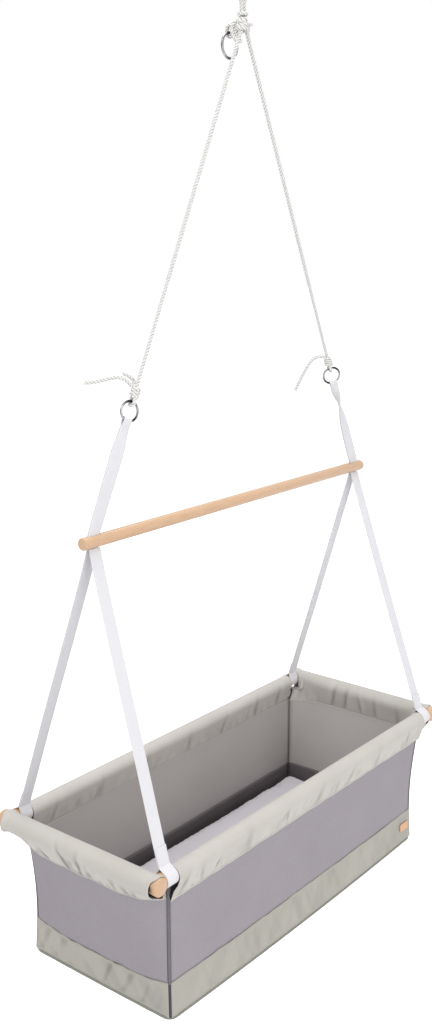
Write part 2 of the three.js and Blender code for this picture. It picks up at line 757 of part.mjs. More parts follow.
function screwHole(sideSign, faceSign) {
  const y = faceSign * halfWidth;
  const inner = vec(sideSign * (screwReach - overrun), y, 0);
  const outer = vec(sideSign * (halfLength + shortRadius + overrun), y, 0);
  const seat = vec(sideSign * headSeat, y, 0);
  return fuse([rod(inner, outer, screwShank / 2 + gap, 12), rod(seat, outer, spotFaceDiameter / 2, 16)]);
}

function longDowel(faceSign) {
  const y = faceSign * halfWidth;
  const stick = rod(vec(-halfLength, y, 0), vec(halfLength, y, 0), longRadius);
  const tools = Object.values(sides).flatMap((sign) => [
    rod(vec(sign * halfLength, -shortHalf, 0), vec(sign * halfLength, shortHalf, 0), shortRadius + gap),
    screwHole(sign, faceSign),
  ]);
  return cut(stick, tools);
}

function shortDowel(sideSign) {
  const start = vec(sideSign * halfLength, -shortHalf, 0);
  const stick = turnedRod(2 * shortHalf, shortRadius, dowelChamfer, start, vec(0, 1, 0));
  return cut(stick, Object.values(faces).map((sign) => screwHole(sideSign, sign)));
}

function screw(sideSign, faceSign) {
  const head = screwHead / 2;
  const shank = screwShank / 2;
  const profile = [
    [0, -screwHeadHeight],
    ...screwDomeShares.map(([out, up]) => [head * out, -screwHeadHeight * up]),
    [head, -gap],
    [shank, -gap],
    [shank, screwLength - screwPoint],
    [0, screwLength],
  ];
  const seat = vec(sideSign * headSeat, faceSign * halfWidth, 0);
  return revolved(profile, seat, vec(-sideSign, 0, 0), 14);
}

for (const [face, faceSign] of Object.entries(faces)) {
  add(crib, "long_dowel_" + face, longDowel(faceSign), materials.wood);
}
for (const [side, sideSign] of Object.entries(sides)) {
  add(crib, "short_dowel_" + side, shortDowel(sideSign), materials.wood);
  for (const [face, faceSign] of Object.entries(faces)) {
    add(crib, `corner_screw_${face}_${side}`, screw(sideSign, faceSign), materials.steel);
  }
}

// Shape of the walls. depthShare runs from 0 at the sleeves' seam to 1 at the base, and acrossShare
// from -1 to 1.

const seamZ = -sleeveDrop - gap;
const shareAt = (z) => (seamZ - z) / (seamZ + cribDepth);

function cornerAt(depthShare) {
  const drawn = waist * Math.sin(Math.PI * depthShare);
  return {
    x: lerp(cornerTop.x, cornerBase.x, depthShare) - drawn,
    y: lerp(cornerTop.y, cornerBase.y, depthShare) - drawn,
  };
}

// How far out a wall stands between its corners: its top follows the sleeve and its foot the base
function reachAt(corner, topReach, acrossShare, depthShare) {
  const fan = (1 - depthShare) ** fanRateShare * (1 - Math.abs(acrossShare) ** cornerRateShare);
  const bow = sideBow * (1 - acrossShare ** 2) * Math.sin(Math.PI * depthShare);
  return corner + (topReach - cornerTopReach(topReach)) * fan - bow;
}

const topReaches = { long: halfWidth, short: halfLength - shortHemInset };
const cornerTopReach = (topReach) => (topReach === topReaches.long ? cornerTop.y : cornerTop.x);

// A point on a wall's outer face, moved in by a depth and stopped short of the corner by a margin
function wallPoint(wall, sign, acrossShare, z, depth, margin) {
  const depthShare = shareAt(z);
  const corner = cornerAt(depthShare);
  if (wall === "long") {
    const y = reachAt(corner.y, topReaches.long, acrossShare, depthShare) - depth;
    return vec(acrossShare * (corner.x - margin), sign * y, z);
  }
  const x = reachAt(corner.x, topReaches.short, acrossShare, depthShare) - depth;
  return vec(sign * x, acrossShare * (corner.y - margin), z);
}

const panelMargin = bindingSize - bindingProud + gap;

// Sleeves: cloth tunnels that hang on the dowels and end in a flat hem

const tunnelBack = gap - sleeveSlack; // a tunnel's middle, from its dowel's axis

function longSleeve(faceSign) {
  const bore = longRadius + sleeveSlack;
  const hemTop = -sleeveDrop + hemHeight;
  const open = radians(sleeveOpenDeg);
  const shape = new THREE.Shape();
  shape.moveTo(sleeveCloth, -sleeveDrop);
  shape.lineTo(sleeveCloth, hemTop);
  shape.absarc(0, tunnelBack, bore + sleeveCloth, -open, Math.PI + open);
  shape.lineTo(-sleeveCloth, hemTop);
  shape.lineTo(-sleeveCloth, -sleeveDrop);
  const tunnel = new THREE.Path();
  tunnel.absarc(0, tunnelBack, bore, -open, Math.PI + open);
  tunnel.lineTo(0, hemTop);
  shape.holes.push(tunnel);
  const start = vec(-longSleeveEnd, faceSign * halfWidth, 0);
  return prism(shape, 2 * longSleeveEnd, vec(0, 1, 0), vec(0, 0, 1), start);
}

// Cloth drawn round a dowel and down to a tip below it, as points of x inward and y up. Its points lie at
// the same angles whatever the tip, on the round or on the straight between the round and the tip.
function teardrop(radius, tip, halfTip, steps) {
  const tangent = (turn) => {
    const place = new THREE.Vector2(tip.x + turn * halfTip, tip.z - tunnelBack);
    return Math.atan2(place.y, place.x) + turn * Math.acos(radius / place.length());
  };
  const from = tangent(1);
  const to = tangent(-1) + 2 * Math.PI;
  const [first, last] = [radians(tunnelFromDeg), radians(tunnelToDeg)];
  const round = radius / Math.cos((last - first) / steps / 2);
  const points = Array.from({ length: steps + 1 }, (_, i) => {
    const angle = lerp(first, last, i / steps);
    const beyond = Math.max(from - angle, angle - to, 0);
    const out = beyond > 0 ? Math.max(round, radius / Math.cos(beyond)) : round;
    return new THREE.Vector2(out * Math.cos(angle), tunnelBack + out * Math.sin(angle));
  });
  points.push(new THREE.Vector2(tip.x - halfTip, tip.z), new THREE.Vector2(tip.x + halfTip, tip.z));
  return points;
}

// The short sleeve's hem follows the top of its wall, in to the corners and up to the dowel's ends. On the
// inner side it is cut away round the long dowel, the strap's loop and the corner binding.
function shortSleeve(sideSign) {
  const bore = shortRadius + sleeveSlack;
  const reach = shortHalf - sleeveShort;
  const seamEnd = cornerTop.y - panelMargin;
  const columns = 10;
  const stations = Array.from({ length: columns + 1 }, (_, i) => {
    const share = Math.sin(Math.PI * (i / columns - 1 / 2));
    const inward = halfLength - reachAt(cornerTop.x, topReaches.short, share, 0);
    return { y: share * seamEnd, tip: { x: inward, z: -sleeveDrop } };
  });
  stations.unshift({ y: -reach, tip: shortEndTip });
  stations.push({ y: reach, tip: shortEndTip });
  const placed = (y) => (point) => vec(sideSign * (halfLength - point.x), y, point.y);
  const outer = stations.map(({ y, tip }) => {
    return teardrop(bore + sleeveCloth, tip, sleeveCloth, 14).map(placed(y));
  });
  const inner = stations.map(({ y, tip }) => {
    const drawn = new THREE.Vector2(tip.x, tip.z - tunnelBack);
    drawn.setLength(Math.max(drawn.length() - hemHeight, bore + gap));
    const past = Math.abs(y) < reach ? 0 : Math.sign(y) * overrun;
    return teardrop(bore, { x: drawn.x, z: drawn.y + tunnelBack }, gap / 2, 14).map(placed(y + past));
  });
  const loopRoom = longRadius + gap + webThickness + notchRoom;
  const inside = sideSign * longSleeveEnd;
  const notches = Object.values(faces).flatMap((faceSign) => {
    const y = faceSign * halfWidth;
    const postFrom = cornerTop.y + bindingProud - bindingSize - gap;
    return [
      rod(vec(sideSign * halfLength, y, 0), vec(inside, y, 0), loopRoom),
      blockBetween(vec(sideSign * halfLength, y - loopRoom, 0), vec(inside, y + loopRoom, bore + overrun)),
      blockBetween(
        vec(sideSign * (cornerTop.x + bindingProud + gap), faceSign * postFrom, -bindingTop + gap),
        vec(inside, faceSign * shortHalf, -sleeveDrop - overrun),
      ),
    ];
  });
  return largest(cut(skin(outer, false), [skin(inner, false), ...notches]));
}

for (const [face, faceSign] of Object.entries(faces)) {
  add(crib, "sleeve_" + face, longSleeve(faceSign), materials.sleeve);
}
for (const [side, sideSign] of Object.entries(sides)) {
  add(crib, "sleeve_" + side, shortSleeve(sideSign), materials.sleeve);
}

// Walls

function wallSheet(wall, sign, { heights, outer, thickness }) {
  const columns = wall === "long" ? 16 : 12;
  return slab(
    Array.from({ length: columns + 1 }, (_, i) => {
      const acrossShare = Math.sin(Math.PI * (i / columns - 1 / 2));
      return heights.map((z) => [
        wallPoint(wall, sign, acrossShare, z, outer, panelMargin),
        wallPoint(wall, sign, acrossShare, z, outer + thickness, panelMargin),
      ]);
    }),
  );
}

function between(top, bottom, rows) {
  return Array.from({ length: rows + 1 }, (_, i) => lerp(top, bottom, i / rows));
}
const meshHeights = between(seamZ, bandTop + gap, 6);
const bandHeights = between(bandTop, bandBottom, 2);
const liningTop = -cribDepth + liningRise;
const sheets = {
  mesh_panel: { heights: meshHeights, outer: 0, thickness: meshThickness, material: materials.mesh },
  lower_band: {
    heights: bandHeights,
    outer: -bandProud,
    thickness: bandThickness,
    material: materials.sleeve,
  },
  lining: {
    heights: [liningTop, ...bandHeights],
    outer: meshThickness + liningSlack,
    thickness: liningThickness,
    material: materials.lining,
  },
};

const walls = {
  near: ["long", faces.near],
  far: ["long", faces.far],
  left: ["short", sides.left],
  right: ["short", sides.right],
};
for (const [sheet, sizes] of Object.entries(sheets)) {
  for (const [place, [wall, sign]] of Object.entries(walls)) {
    add(crib, `${sheet}_${place}`, wallSheet(wall, sign, sizes), sizes.material);
  }
}

// Corner bindings run down each corner from under the strap loop to the base
function cornerBinding(sideSign, faceSign) {
  const grid = [];
  for (const z of [-bindingTop, ...meshHeights, ...bandHeights]) {
    const corner = cornerAt(Math.max(0, shareAt(z)));
    const outer = { x: corner.x + bindingProud, y: corner.y + bindingProud };
    const inner = { x: outer.x - bindingSize, y: outer.y - bindingSize };
    grid.push([
      [vec(sideSign * outer.x, faceSign * outer.y, z), vec(sideSign * outer.x, faceSign * inner.y, z)],
      [vec(sideSign * inner.x, faceSign * outer.y, z), vec(sideSign * inner.x, faceSign * inner.y, z)],
    ]);
  }
  return slab(grid);
}

for (const [side, sideSign] of Object.entries(sides)) {
  for (const [face, faceSign] of Object.entries(faces)) {
    add(crib, `corner_binding_${face}_${side}`, cornerBinding(sideSign, faceSign), materials.binding);
  }
}

// Base: a welt round the foot of the walls, the cloth floor inside it and a stiff board on that

function roundedPlan(halfX, halfY, corner, steps) {
  const points = [];
  const quarters = [[1, 1], [-1, 1], [-1, -1], [1, -1]];
  quarters.forEach(([signX, signY], quarter) => {
    for (let i = 0; i <= steps; i++) {
      const angle = (Math.PI / 2) * (quarter + i / steps);
      const x = signX * (halfX - corner) + corner * Math.cos(angle);
      const y = signY * (halfY - corner) + corner * Math.sin(angle);
      points.push(vec(x, y, 0));
    }
  });
  return points;
}

function baseWelt() {
  const path = roundedPlan(cornerBase.x, cornerBase.y, weltCorner, 4);
  return closedTube(path.map((point) => point.setZ(weltZ)), weltDiameter / 2, 8);
}

// A flat sheet inside the foot of the walls
function plate(inset, corner, bottom, thickness) {
  const outline = roundedPlan(cornerBase.x - inset, cornerBase.y - inset, corner, 4);
  const shape = new THREE.Shape(outline.map(({ x, y }) => new THREE.Vector2(x, y)));
  return prism(shape, thickness, vec(1, 0, 0), vec(0, 1, 0), vec(0, 0, bottom));
}

const floorInset = weltDiameter / 2 + gap;
const boardInset = meshThickness + gap + liningThickness + boardMargin;
const floorPanel = plate(floorInset, weltCorner - floorInset, -cribDepth, floorThickness);
const baseBoard = plate(boardInset, weltCorner - boardMargin, floorTop + gap, boardThickness);
add(crib, "base_welt", baseWelt(), materials.welt);
add(crib, "floor_panel", floorPanel, materials.sleeve);
add(crib, "base_board", baseBoard, materials.board);

// Mattress: crowned on top, with sides that pull in between its corners
function mattress() {
  const columns = 24;
  const rows = 10;
  const place = (share) => Math.sin((Math.PI / 2) * share);
  const grid = [];
  for (let i = 0; i <= columns; i++) {
    const line = [];
    for (let k = 0; k <= rows; k++) {
      const u = place((2 * i) / columns - 1);
      const w = place((2 * k) / rows - 1);
      const x = u * (mattressLength / 2 - mattressDrawIn * (1 - w ** 2) * Math.abs(u));
      const y = w * (mattressWidth / 2 - mattressDrawIn * (1 - u ** 2) * Math.abs(w));
      const inward = Math.min(1 - Math.abs(u), ((1 - Math.abs(w)) * mattressWidth) / mattressLength);
      const edge = Math.sqrt(THREE.MathUtils.clamp(inward / mattressRoundShare, 0, 1));
      const height = lerp(mattressEdge, mattressThickness - mattressCrown, edge);
      const crown = mattressCrown * (1 - u ** 2) * (1 - w ** 2);
      line.push([vec(x, y, mattressBottom + height + crown), vec(x, y, mattressBottom)]);
    }
    grid.push(line);
  }
  return slab(grid);
}

add(crib, "mattress", mattress(), materials.mattress);

// A small leather tab near the right end of the near band
function leatherLabel() {
  const shape = new THREE.Shape();
  const [x, y, r] = [labelLength / 2, labelHeight / 2, labelCorner];
  shape.absarc(x - r, y - r, r, 0, Math.PI / 2);
  shape.absarc(-x + r, y - r, r, Math.PI / 2, Math.PI);
  shape.absarc(-x + r, -y + r, r, Math.PI, (3 * Math.PI) / 2);
  shape.absarc(x - r, -y + r, r, (3 * Math.PI) / 2, 2 * Math.PI);
  const middle = (bandTop + bandBottom) / 2;
  const across = (cornerBase.x - labelFromCorner) / cornerBase.x;
  const outer = -bandProud - gap;
  const above = wallPoint("long", faces.near, across, middle + y, outer, 0);
  const below = wallPoint("long", faces.near, across, middle - y, outer, 0);
  const up = above.clone().sub(below).setX(0).normalize();
  const start = above.clone().lerp(below, 0.5);
  return prism(shape, labelThickness, vec(1, 0, 0), up, start, 4);
}

add(crib, "leather_label", leatherLabel(), materials.leather);

export default cradle;
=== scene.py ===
import math
import random

import bpy
import numpy as np
from mathutils import Matrix, Vector, noise


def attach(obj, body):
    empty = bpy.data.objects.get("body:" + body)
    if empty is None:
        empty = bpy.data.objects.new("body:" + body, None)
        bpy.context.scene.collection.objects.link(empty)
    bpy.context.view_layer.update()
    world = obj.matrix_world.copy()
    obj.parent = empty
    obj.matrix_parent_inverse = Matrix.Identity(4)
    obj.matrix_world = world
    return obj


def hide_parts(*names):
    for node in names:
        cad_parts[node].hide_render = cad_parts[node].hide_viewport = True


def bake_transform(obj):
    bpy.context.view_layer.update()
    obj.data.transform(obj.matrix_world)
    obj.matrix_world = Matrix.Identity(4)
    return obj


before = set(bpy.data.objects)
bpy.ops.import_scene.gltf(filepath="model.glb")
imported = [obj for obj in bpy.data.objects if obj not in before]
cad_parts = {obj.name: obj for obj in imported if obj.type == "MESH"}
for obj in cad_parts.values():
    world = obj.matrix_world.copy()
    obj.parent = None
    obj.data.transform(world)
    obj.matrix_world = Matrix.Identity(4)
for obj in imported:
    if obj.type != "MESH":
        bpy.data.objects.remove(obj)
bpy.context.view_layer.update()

bpy.ops.object.select_all(action="DESELECT")

# Sizes in millimetres. The crib's heights count from the axes of its rim dowels, the others
# from the hook.

MM = 0.001
SIDES = {"left": -1, "right": 1}
FACES = {"near": -1, "far": 1}

RIM = -1365.0  # height of the rim dowels' axes
BAR = -858.0  # height of the spreader bar's axis
PIVOT = -60.0  # height where the sling swings
LEG_HEAD = -78.0  # height where the rope legs part

ROPE = 7.0
ROPE_LAY = 17.0
CLEAR = 0.5  # between a rope and the wire that it goes round
RING_RADIUS, RING_WIRE = 16.0, 4.0
TOP_RING_RADIUS, TOP_RING_WIRE = 20.0, 4.5
RING_X, RING_Z = 286, -665

WEBBING_WIDTH, WEBBING_THICKNESS = 25, 1.4
BAR_RADIUS, BAR_LENGTH, SLOT_X = 10, 796, 373
LONG_RADIUS, LONG_LENGTH, LONG_Y = 12.5, 850, 165
SHORT_RADIUS, SHORT_LENGTH, SHORT_X = 15, 358, 425
STRAP_X = 396.3  # where the lower straps' loops sit on the long dowels

SEAM, FOOT = -45.3, -268.0  # top and foot of the walls
CORNER_TOP = (389.0, 161.0)
SHORT_TOP = 421.0  # how far out the tops of the short walls hang
CORNER_FOOT = (383.0, 158.0)
BAND_TOP, BAND_FOOT = -200.6, -262.6
HALF_LONG, HALF_SHORT = 380, 156  # half lengths of the walls' cloth
MESH_WIDE, MESH_NARROW, MESH_TALL = 770, 313, 161
BAND_LESS = 12  # how much shorter the bands and linings are than the mesh
BAND_TALL, LINING_TALL = 63, 75


def hook(x, y, z):
    """A point measured from where the hook bears, in metres."""
    return Vector((x, y, z)) * MM


def rim(x, y, z):
    """A point measured from the level of the rim dowels, in metres."""
    return Vector((x, y, z + RIM)) * MM


def below_pivot(drop, x=0.0, y=0.0):
    return hook(x, y, PIVOT - drop)


def lerp(a, b, share):
    return a + (b - a) * share


def ease(value, low, high):
    """0 below low, 1 above high and a smooth step between them."""
    share = min(1.0, max(0.0, (value - low) / (high - low)))
    return share * share * (3 - 2 * share)


def bump_at(value, middle, wide):
    """A bell curve, 1 high at its middle."""
    return math.exp(-((value - middle) / wide) ** 2)


def wrinkle(x, y, seed):
    """Smooth irregular waviness from -1 to 1 that is the same every time."""
    return noise.noise(Vector((x, y, seed * 7.3)))


# Camera of the photograph


def aim_camera(azimuth, elevation, lens, place):
    data = bpy.data.cameras.new("photo_camera")
    data.lens = lens
    data.sensor_width = 36
    data.clip_end = 60
    camera = bpy.data.objects.new("photo_camera", data)
    bpy.context.scene.collection.objects.link(camera)
    flat = math.cos(elevation)
    back = Vector((math.sin(azimuth) * flat, -math.cos(azimuth) * flat, math.sin(elevation)))
    camera.rotation_euler = back.to_track_quat("Z", "Y").to_euler()
    camera.location = place
    bpy.context.scene.camera = camera


aim_camera(math.radians(-51.2), math.radians(13.7), 42.15, (-1.6526, -1.2728, -0.3734))

# Materials


def tone(red, green, blue):
    """A colour as it looks, from 0 to 255 a channel, as the shader's linear colour."""
    parts = [c / 255 for c in (red, green, blue)]
    linear = (c / 12.92 if c <= 0.04045 else ((c + 0.055) / 1.055) ** 2.4 for c in parts)
    return tuple(linear) + (1.0,)


def grey(level):
    return (level, level, level, 1)


class Nodes:
    """A node tree, with short ways to add and join its nodes."""

    def __init__(self, tree):
        self.nodes, self.links = tree.nodes, tree.links

    def add(self, kind, settings=None, **sockets):
        """Adds a node. Its sockets are set or linked by name, or by number as i0, i1 and so on."""
        node = self.nodes.new("ShaderNode" + kind)
        for key, value in (settings or {}).items():
            setattr(node, key, value)
        for socket, value in sockets.items():
            by_number = socket[0] == "i" and socket[1:].isdigit()
            place = node.inputs[int(socket[1:]) if by_number else socket]
            self.join(value, place)
        return node

    def join(self, value, place):
        if isinstance(value, bpy.types.NodeSocket):
            self.links.new(value, place)
        else:
            place.default_value = value

    def sum(self, operation, a, b):
        return self.add("Math", {"operation": operation}, i0=a, i1=b).outputs["Value"]

    def seen_directly(self):
        """1 for what the camera sees, also in mirrors, and 0 for light that spreads."""
        rays = self.add("LightPath").outputs
        looks = self.sum("MAXIMUM", rays["Is Camera Ray"], rays["Is Glossy Ray"])
        return self.sum("MAXIMUM", looks, rays["Is Transmission Ray"])


class Finish(Nodes):
    """A material under construction."""

    def __init__(self, name, **sockets):
        self.material = bpy.data.materials.new(name)
        self.material.use_nodes = True
        super().__init__(self.material.node_tree)
        self.shader = self.nodes["Principled BSDF"]
        for socket, value in sockets.items():
            self.shader.inputs[socket.replace("_", " ")].default_value = value

    def coordinates(self, source="Object", scale=(1, 1, 1), turn=0.0, shift=(0, 0, 0)):
        start = self.add("TexCoord").outputs[source]
        turned = (0, 0, math.radians(turn))
        mapping = self.add("Mapping", Vector=start, Scale=scale, Rotation=turned, Location=shift)
        return mapping.outputs["Vector"]

    def attribute(self, name):
        return self.add("Attribute", {"attribute_name": name}).outputs["Fac"]

    def speckle(self, where, scale, detail=3.0):
        sockets = {"Vector": where, "Scale": scale, "Detail": detail, "Roughness": 0.55}
        return self.add("TexNoise", **sockets).outputs["Fac"]

    def waves(self, where, scale, direction="X", kind="BANDS", distortion=0.0):
        settings = {"wave_type": kind, f"{kind.lower()}_direction": direction}
        wave = self.add("TexWave", settings, Vector=where, Scale=scale, Distortion=distortion)
        return wave.outputs["Fac"]

    def ramp(self, factor, stops):
        node = self.add("ValToRGB", Fac=factor)
        band = node.color_ramp
        while len(band.elements) < len(stops):
            band.elements.new(0.5)
        for element, (place, colour) in zip(band.elements, stops):
            element.position = place
            element.color = colour
        return node.outputs["Color"]

    def blend(self, factor, a, b):
        node = self.add("Mix", {"data_type": "RGBA", "blend_type": "MIX"})
        wanted = (("Factor", "VALUE", factor), ("A", "RGBA", a), ("B", "RGBA", b))
        for socket, kind, value in wanted:
            self.join(value, next(s for s in node.inputs if s.name == socket and s.type == kind))
        return next(s for s in node.outputs if s.type == "RGBA")

    def mixed_in(self, pattern, share, under, over):
        """The colour over laid on the one under where the pattern is, by a share."""
        return self.blend(self.sum("MULTIPLY", pattern, share), under, over)

    def colour(self, value):
        self.links.new(value, self.shader.inputs["Base Color"])

    def roughness(self, factor, low, high):
        spread = self.add("MapRange", Value=factor)
        spread.inputs["To Min"].default_value = low
        spread.inputs["To Max"].default_value = high
        self.links.new(spread.outputs["Result"], self.shader.inputs["Roughness"])

    def bump(self, height, depth_mm, strength=1.0):
        node = self.add("Bump", Height=height, Strength=strength, Distance=depth_mm * MM)
        before = self.shader.inputs["Normal"].links
        if before:
            self.links.new(before[0].from_socket, node.inputs["Normal"])
        self.links.new(node.outputs["Normal"], self.shader.inputs["Normal"])


def rope_finish():
    """Soft white laid rope: pale crests and painted shade in the grooves between strands, with fine
    yarns along each strand.
    """
    f = Finish("white_laid_rope", Roughness=0.85, Sheen_Weight=0.25, Sheen_Roughness=0.6)
    yarns = f.waves(f.coordinates("UV", turn=38), 560, "Y", distortion=1.6)
    cloudy = f.speckle(f.coordinates(), 260)
    # painted shade: the crest attribute makes the grooves between the strands darker
    crest = f.sum("MULTIPLY", f.attribute("crest"), 0.86)
    body = f.ramp(f.sum("ADD", crest, f.sum("MULTIPLY", yarns, 0.14)), [
        (0.0, tone(162, 161, 159)), (0.34, tone(212, 211, 208)),
        (0.7, tone(241, 240, 238)), (1.0, tone(246, 245, 243)),
    ])
    f.colour(f.mixed_in(cloudy, 0.12, body, tone(222, 220, 214)))
    f.bump(yarns, 0.22, 0.8)
    f.bump(cloudy, 0.12, 0.5)
    return f.material


def webbing_finish():
    """White woven webbing: ribs across it and a fine warp along it."""
    f = Finish("white_webbing", Roughness=0.7, Sheen_Weight=0.15)
    where = f.coordinates("UV")
    ribs = f.waves(where, 300, "Y")
    warp = f.waves(where, 330, "X")
    weave = f.sum("MULTIPLY", ribs, f.sum("ADD", f.sum("MULTIPLY", warp, 0.5), 0.5))
    wear = f.speckle(f.coordinates(), 34)
    body = f.ramp(weave, [
        (0.0, tone(216, 215, 219)), (0.6, tone(235, 234, 238)), (1.0, tone(243, 242, 245)),
    ])
    f.colour(f.mixed_in(wear, 0.2, body, tone(222, 220, 226)))
    f.roughness(wear, 0.6, 0.8)
    f.bump(weave, 0.28, 0.8)
    return f.material


def wood_finish(name, axis):
    """Pale varnished beech turned along an axis: rings on its ends, streaks and flecks along it."""
    f = Finish(name, Roughness=0.42, Coat_Weight=0.18, Coat_Roughness=0.25)
    stretched = {"X": (0.045, 1, 1), "Y": (1, 0.045, 1)}[axis]
    shift = {"X": (0, 0.021, -0.013), "Y": (0.021, 0, -0.013)}[axis]
    grain = f.coordinates("Object", scale=stretched, shift=shift)
    rings = f.waves(grain, 150, axis, "RINGS", distortion=0.9)
    drawn_out = tuple(0.03 if s < 1 else 1 for s in stretched)
    pores = f.speckle(f.coordinates("Object", scale=drawn_out), 900, 2.0)
    cloudy = f.speckle(grain, 26)
    body = f.ramp(rings, [
        (0.0, tone(201, 163, 128)), (0.55, tone(208, 173, 140)), (1.0, tone(213, 180, 149)),
    ])
    flecks = f.ramp(pores, [(0.36, grey(0.35)), (0.5, grey(0))])
    flecked = f.blend(flecks, body, tone(178, 137, 102))
    f.colour(f.mixed_in(cloudy, 0.3, flecked, tone(205, 166, 132)))
    f.roughness(cloudy, 0.36, 0.5)
    f.bump(pores, 0.05, 0.5)
    return f.material


def chrome_finish():
    """Chrome with painted reflections: dark and light streaks painted into its colour, with the
    haze of handling.
    """
    f = Finish("bright_chrome", Metallic=1.0, Roughness=0.1)
    smears = f.speckle(f.coordinates(), 140)
    painted_reflection_streaks = f.waves(f.coordinates(), 10, "X", distortion=1.6)
    # painted reflection: streaks of dark and light in the base colour stand for a mirrored room
    f.colour(f.ramp(painted_reflection_streaks, [
        (0.0, tone(54, 54, 58)), (0.4, tone(86, 86, 90)),
        (0.75, tone(126, 126, 130)), (1.0, tone(168, 168, 172)),
    ]))
    f.roughness(smears, 0.06, 0.2)
    f.bump(f.speckle(f.coordinates(), 620), 0.02, 0.35)
    return f.material


def steel_finish():
    """Zinc plated screw steel."""
    f = Finish("plated_screw_steel", Metallic=1.0, Roughness=0.32)
    scuffs = f.speckle(f.coordinates("Object", scale=(1, 6, 6)), 420)
    f.colour(f.blend(scuffs, tone(196, 198, 202), tone(160, 161, 160)))
    f.roughness(scuffs, 0.24, 0.46)
    return f.material


def sleeve_finish(name, light, dark):
    """Plain-woven cloth with a slight sheen, greyer where handled, with painted shade in its
    creases.
    """
    f = Finish(name, Roughness=0.6, Sheen_Weight=0.12, Sheen_Roughness=0.45)
    where = f.coordinates("UV")
    weft = f.waves(where, 640, "X", distortion=0.4)
    warp = f.waves(where, 640, "Y", distortion=0.4)
    weave = f.sum("MAXIMUM", weft, warp)
    cloudy = f.speckle(f.coordinates(), 11, 4.0)
    fine = f.speckle(f.coordinates(), 170)
    body = f.blend(cloudy, tone(*light), tone(*dark))
    body = f.mixed_in(weave, 0.18, body, tone(214, 210, 204))
    # painted shade: the cloth is darkened where its point attribute marks creases
    f.colour(f.blend(f.attribute("painted_crease_shade"), body, tone(*(0.72 * c for c in dark))))
    f.roughness(fine, 0.5, 0.68)
    f.bump(weave, 0.09, 0.6)
    f.bump(cloudy, 0.9, 0.35)
    return f.material


def mesh_finish():
    """Grey lilac spacer mesh: rows of small staggered holes in a knitted ground."""
    f = Finish("lilac_grey_mesh", Roughness=0.85)
    where = f.coordinates("UV", scale=(430, 430, 430), turn=45)
    rows = {"Vector": where, "Scale": 1.0, "Randomness": 0.0}
    cells = f.add("TexVoronoi", {"voronoi_dimensions": "2D"}, **rows).outputs["Distance"]
    knit = f.speckle(f.coordinates("UV"), 1500, 2.0)
    drift = f.speckle(f.coordinates(), 7)
    ground = f.blend(drift, tone(172, 166, 173), tone(158, 152, 159))
    ground = f.mixed_in(knit, 0.3, ground, tone(184, 179, 184))
    holes = f.ramp(cells, [(0.2, grey(0.62)), (0.36, grey(0))])
    f.colour(f.blend(holes, ground, tone(98, 93, 102)))
    f.bump(f.ramp(cells, [(0.18, grey(0)), (0.42, grey(1))]), 0.5, 0.8)
    f.bump(knit, 0.1, 0.5)
    return f.material


def inner_finish(name, light, dark):
    """The smooth cloth of the inside."""
    f = Finish(name, Roughness=0.72)
    where = f.coordinates("UV")
    weave = f.sum("MAXIMUM", f.waves(where, 700, "X"), f.waves(where, 700, "Y"))
    cloudy = f.speckle(f.coordinates(), 6, 3.0)
    f.colour(f.blend(cloudy, tone(*light), tone(*dark)))
    f.roughness(f.speckle(f.coordinates(), 90), 0.62, 0.8)
    f.bump(weave, 0.08, 0.5)
    f.bump(cloudy, 1.4, 0.3)
    return f.material


def trim_finish(name, light, dark, pitch=520):
    """Narrow twill tape, piping or thread, ribbed across."""
    f = Finish(name, Roughness=0.78)
    twill = f.waves(f.coordinates("UV", turn=32), pitch, "X")
    worn = f.speckle(f.coordinates(), 60)
    f.colour(f.mixed_in(f.sum("ADD", twill, worn), 0.5, tone(*dark), tone(*light)))
    f.roughness(worn, 0.68, 0.88)
    f.bump(twill, 0.18, 0.8)
    return f.material


def mattress_finish():
    """White quilt cotton with a lilac cast, a fine weave and soft lint."""
    f = Finish("white_mattress_cotton", Roughness=0.9, Sheen_Weight=0.3, Sheen_Roughness=0.55)
    where = f.coordinates("Object")
    weave = f.sum("MULTIPLY", f.waves(where, 480, "X"), f.waves(where, 480, "Y"))
    lint = f.speckle(where, 420)
    cloudy = f.speckle(where, 9)
    body = f.blend(cloudy, tone(217, 213, 219), tone(205, 201, 208))
    f.colour(f.mixed_in(weave, 0.25, body, tone(225, 222, 227)))
    f.roughness(lint, 0.82, 0.96)
    f.bump(weave, 0.1, 0.5)
    f.bump(lint, 0.15, 0.5)
    return f.material


def leather_finish():
    """Pale tan leather with a pebbled grain and burnished edges."""
    f = Finish("tan_leather", Roughness=0.55)
    where = f.coordinates("Object")
    grain = f.add("TexVoronoi", {"feature": "DISTANCE_TO_EDGE"}, Vector=where, Scale=900.0)
    cloudy = f.speckle(where, 150)
    body = f.blend(cloudy, tone(230, 186, 146), tone(214, 166, 124))
    f.colour(f.blend(f.attribute("edge"), body, tone(168, 118, 80)))
    f.roughness(cloudy, 0.45, 0.65)
    f.bump(grain.outputs["Distance"], 0.12, 0.6)
    return f.material


def board_finish():
    """The hardboard under the mattress."""
    f = Finish("hardboard", Roughness=0.7)
    fibres = f.speckle(f.coordinates("Object", scale=(1, 2.5, 1)), 320)
    f.colour(f.blend(fibres, tone(150, 118, 84), tone(118, 90, 62)))
    f.bump(fibres, 0.1, 0.5)
    return f.material


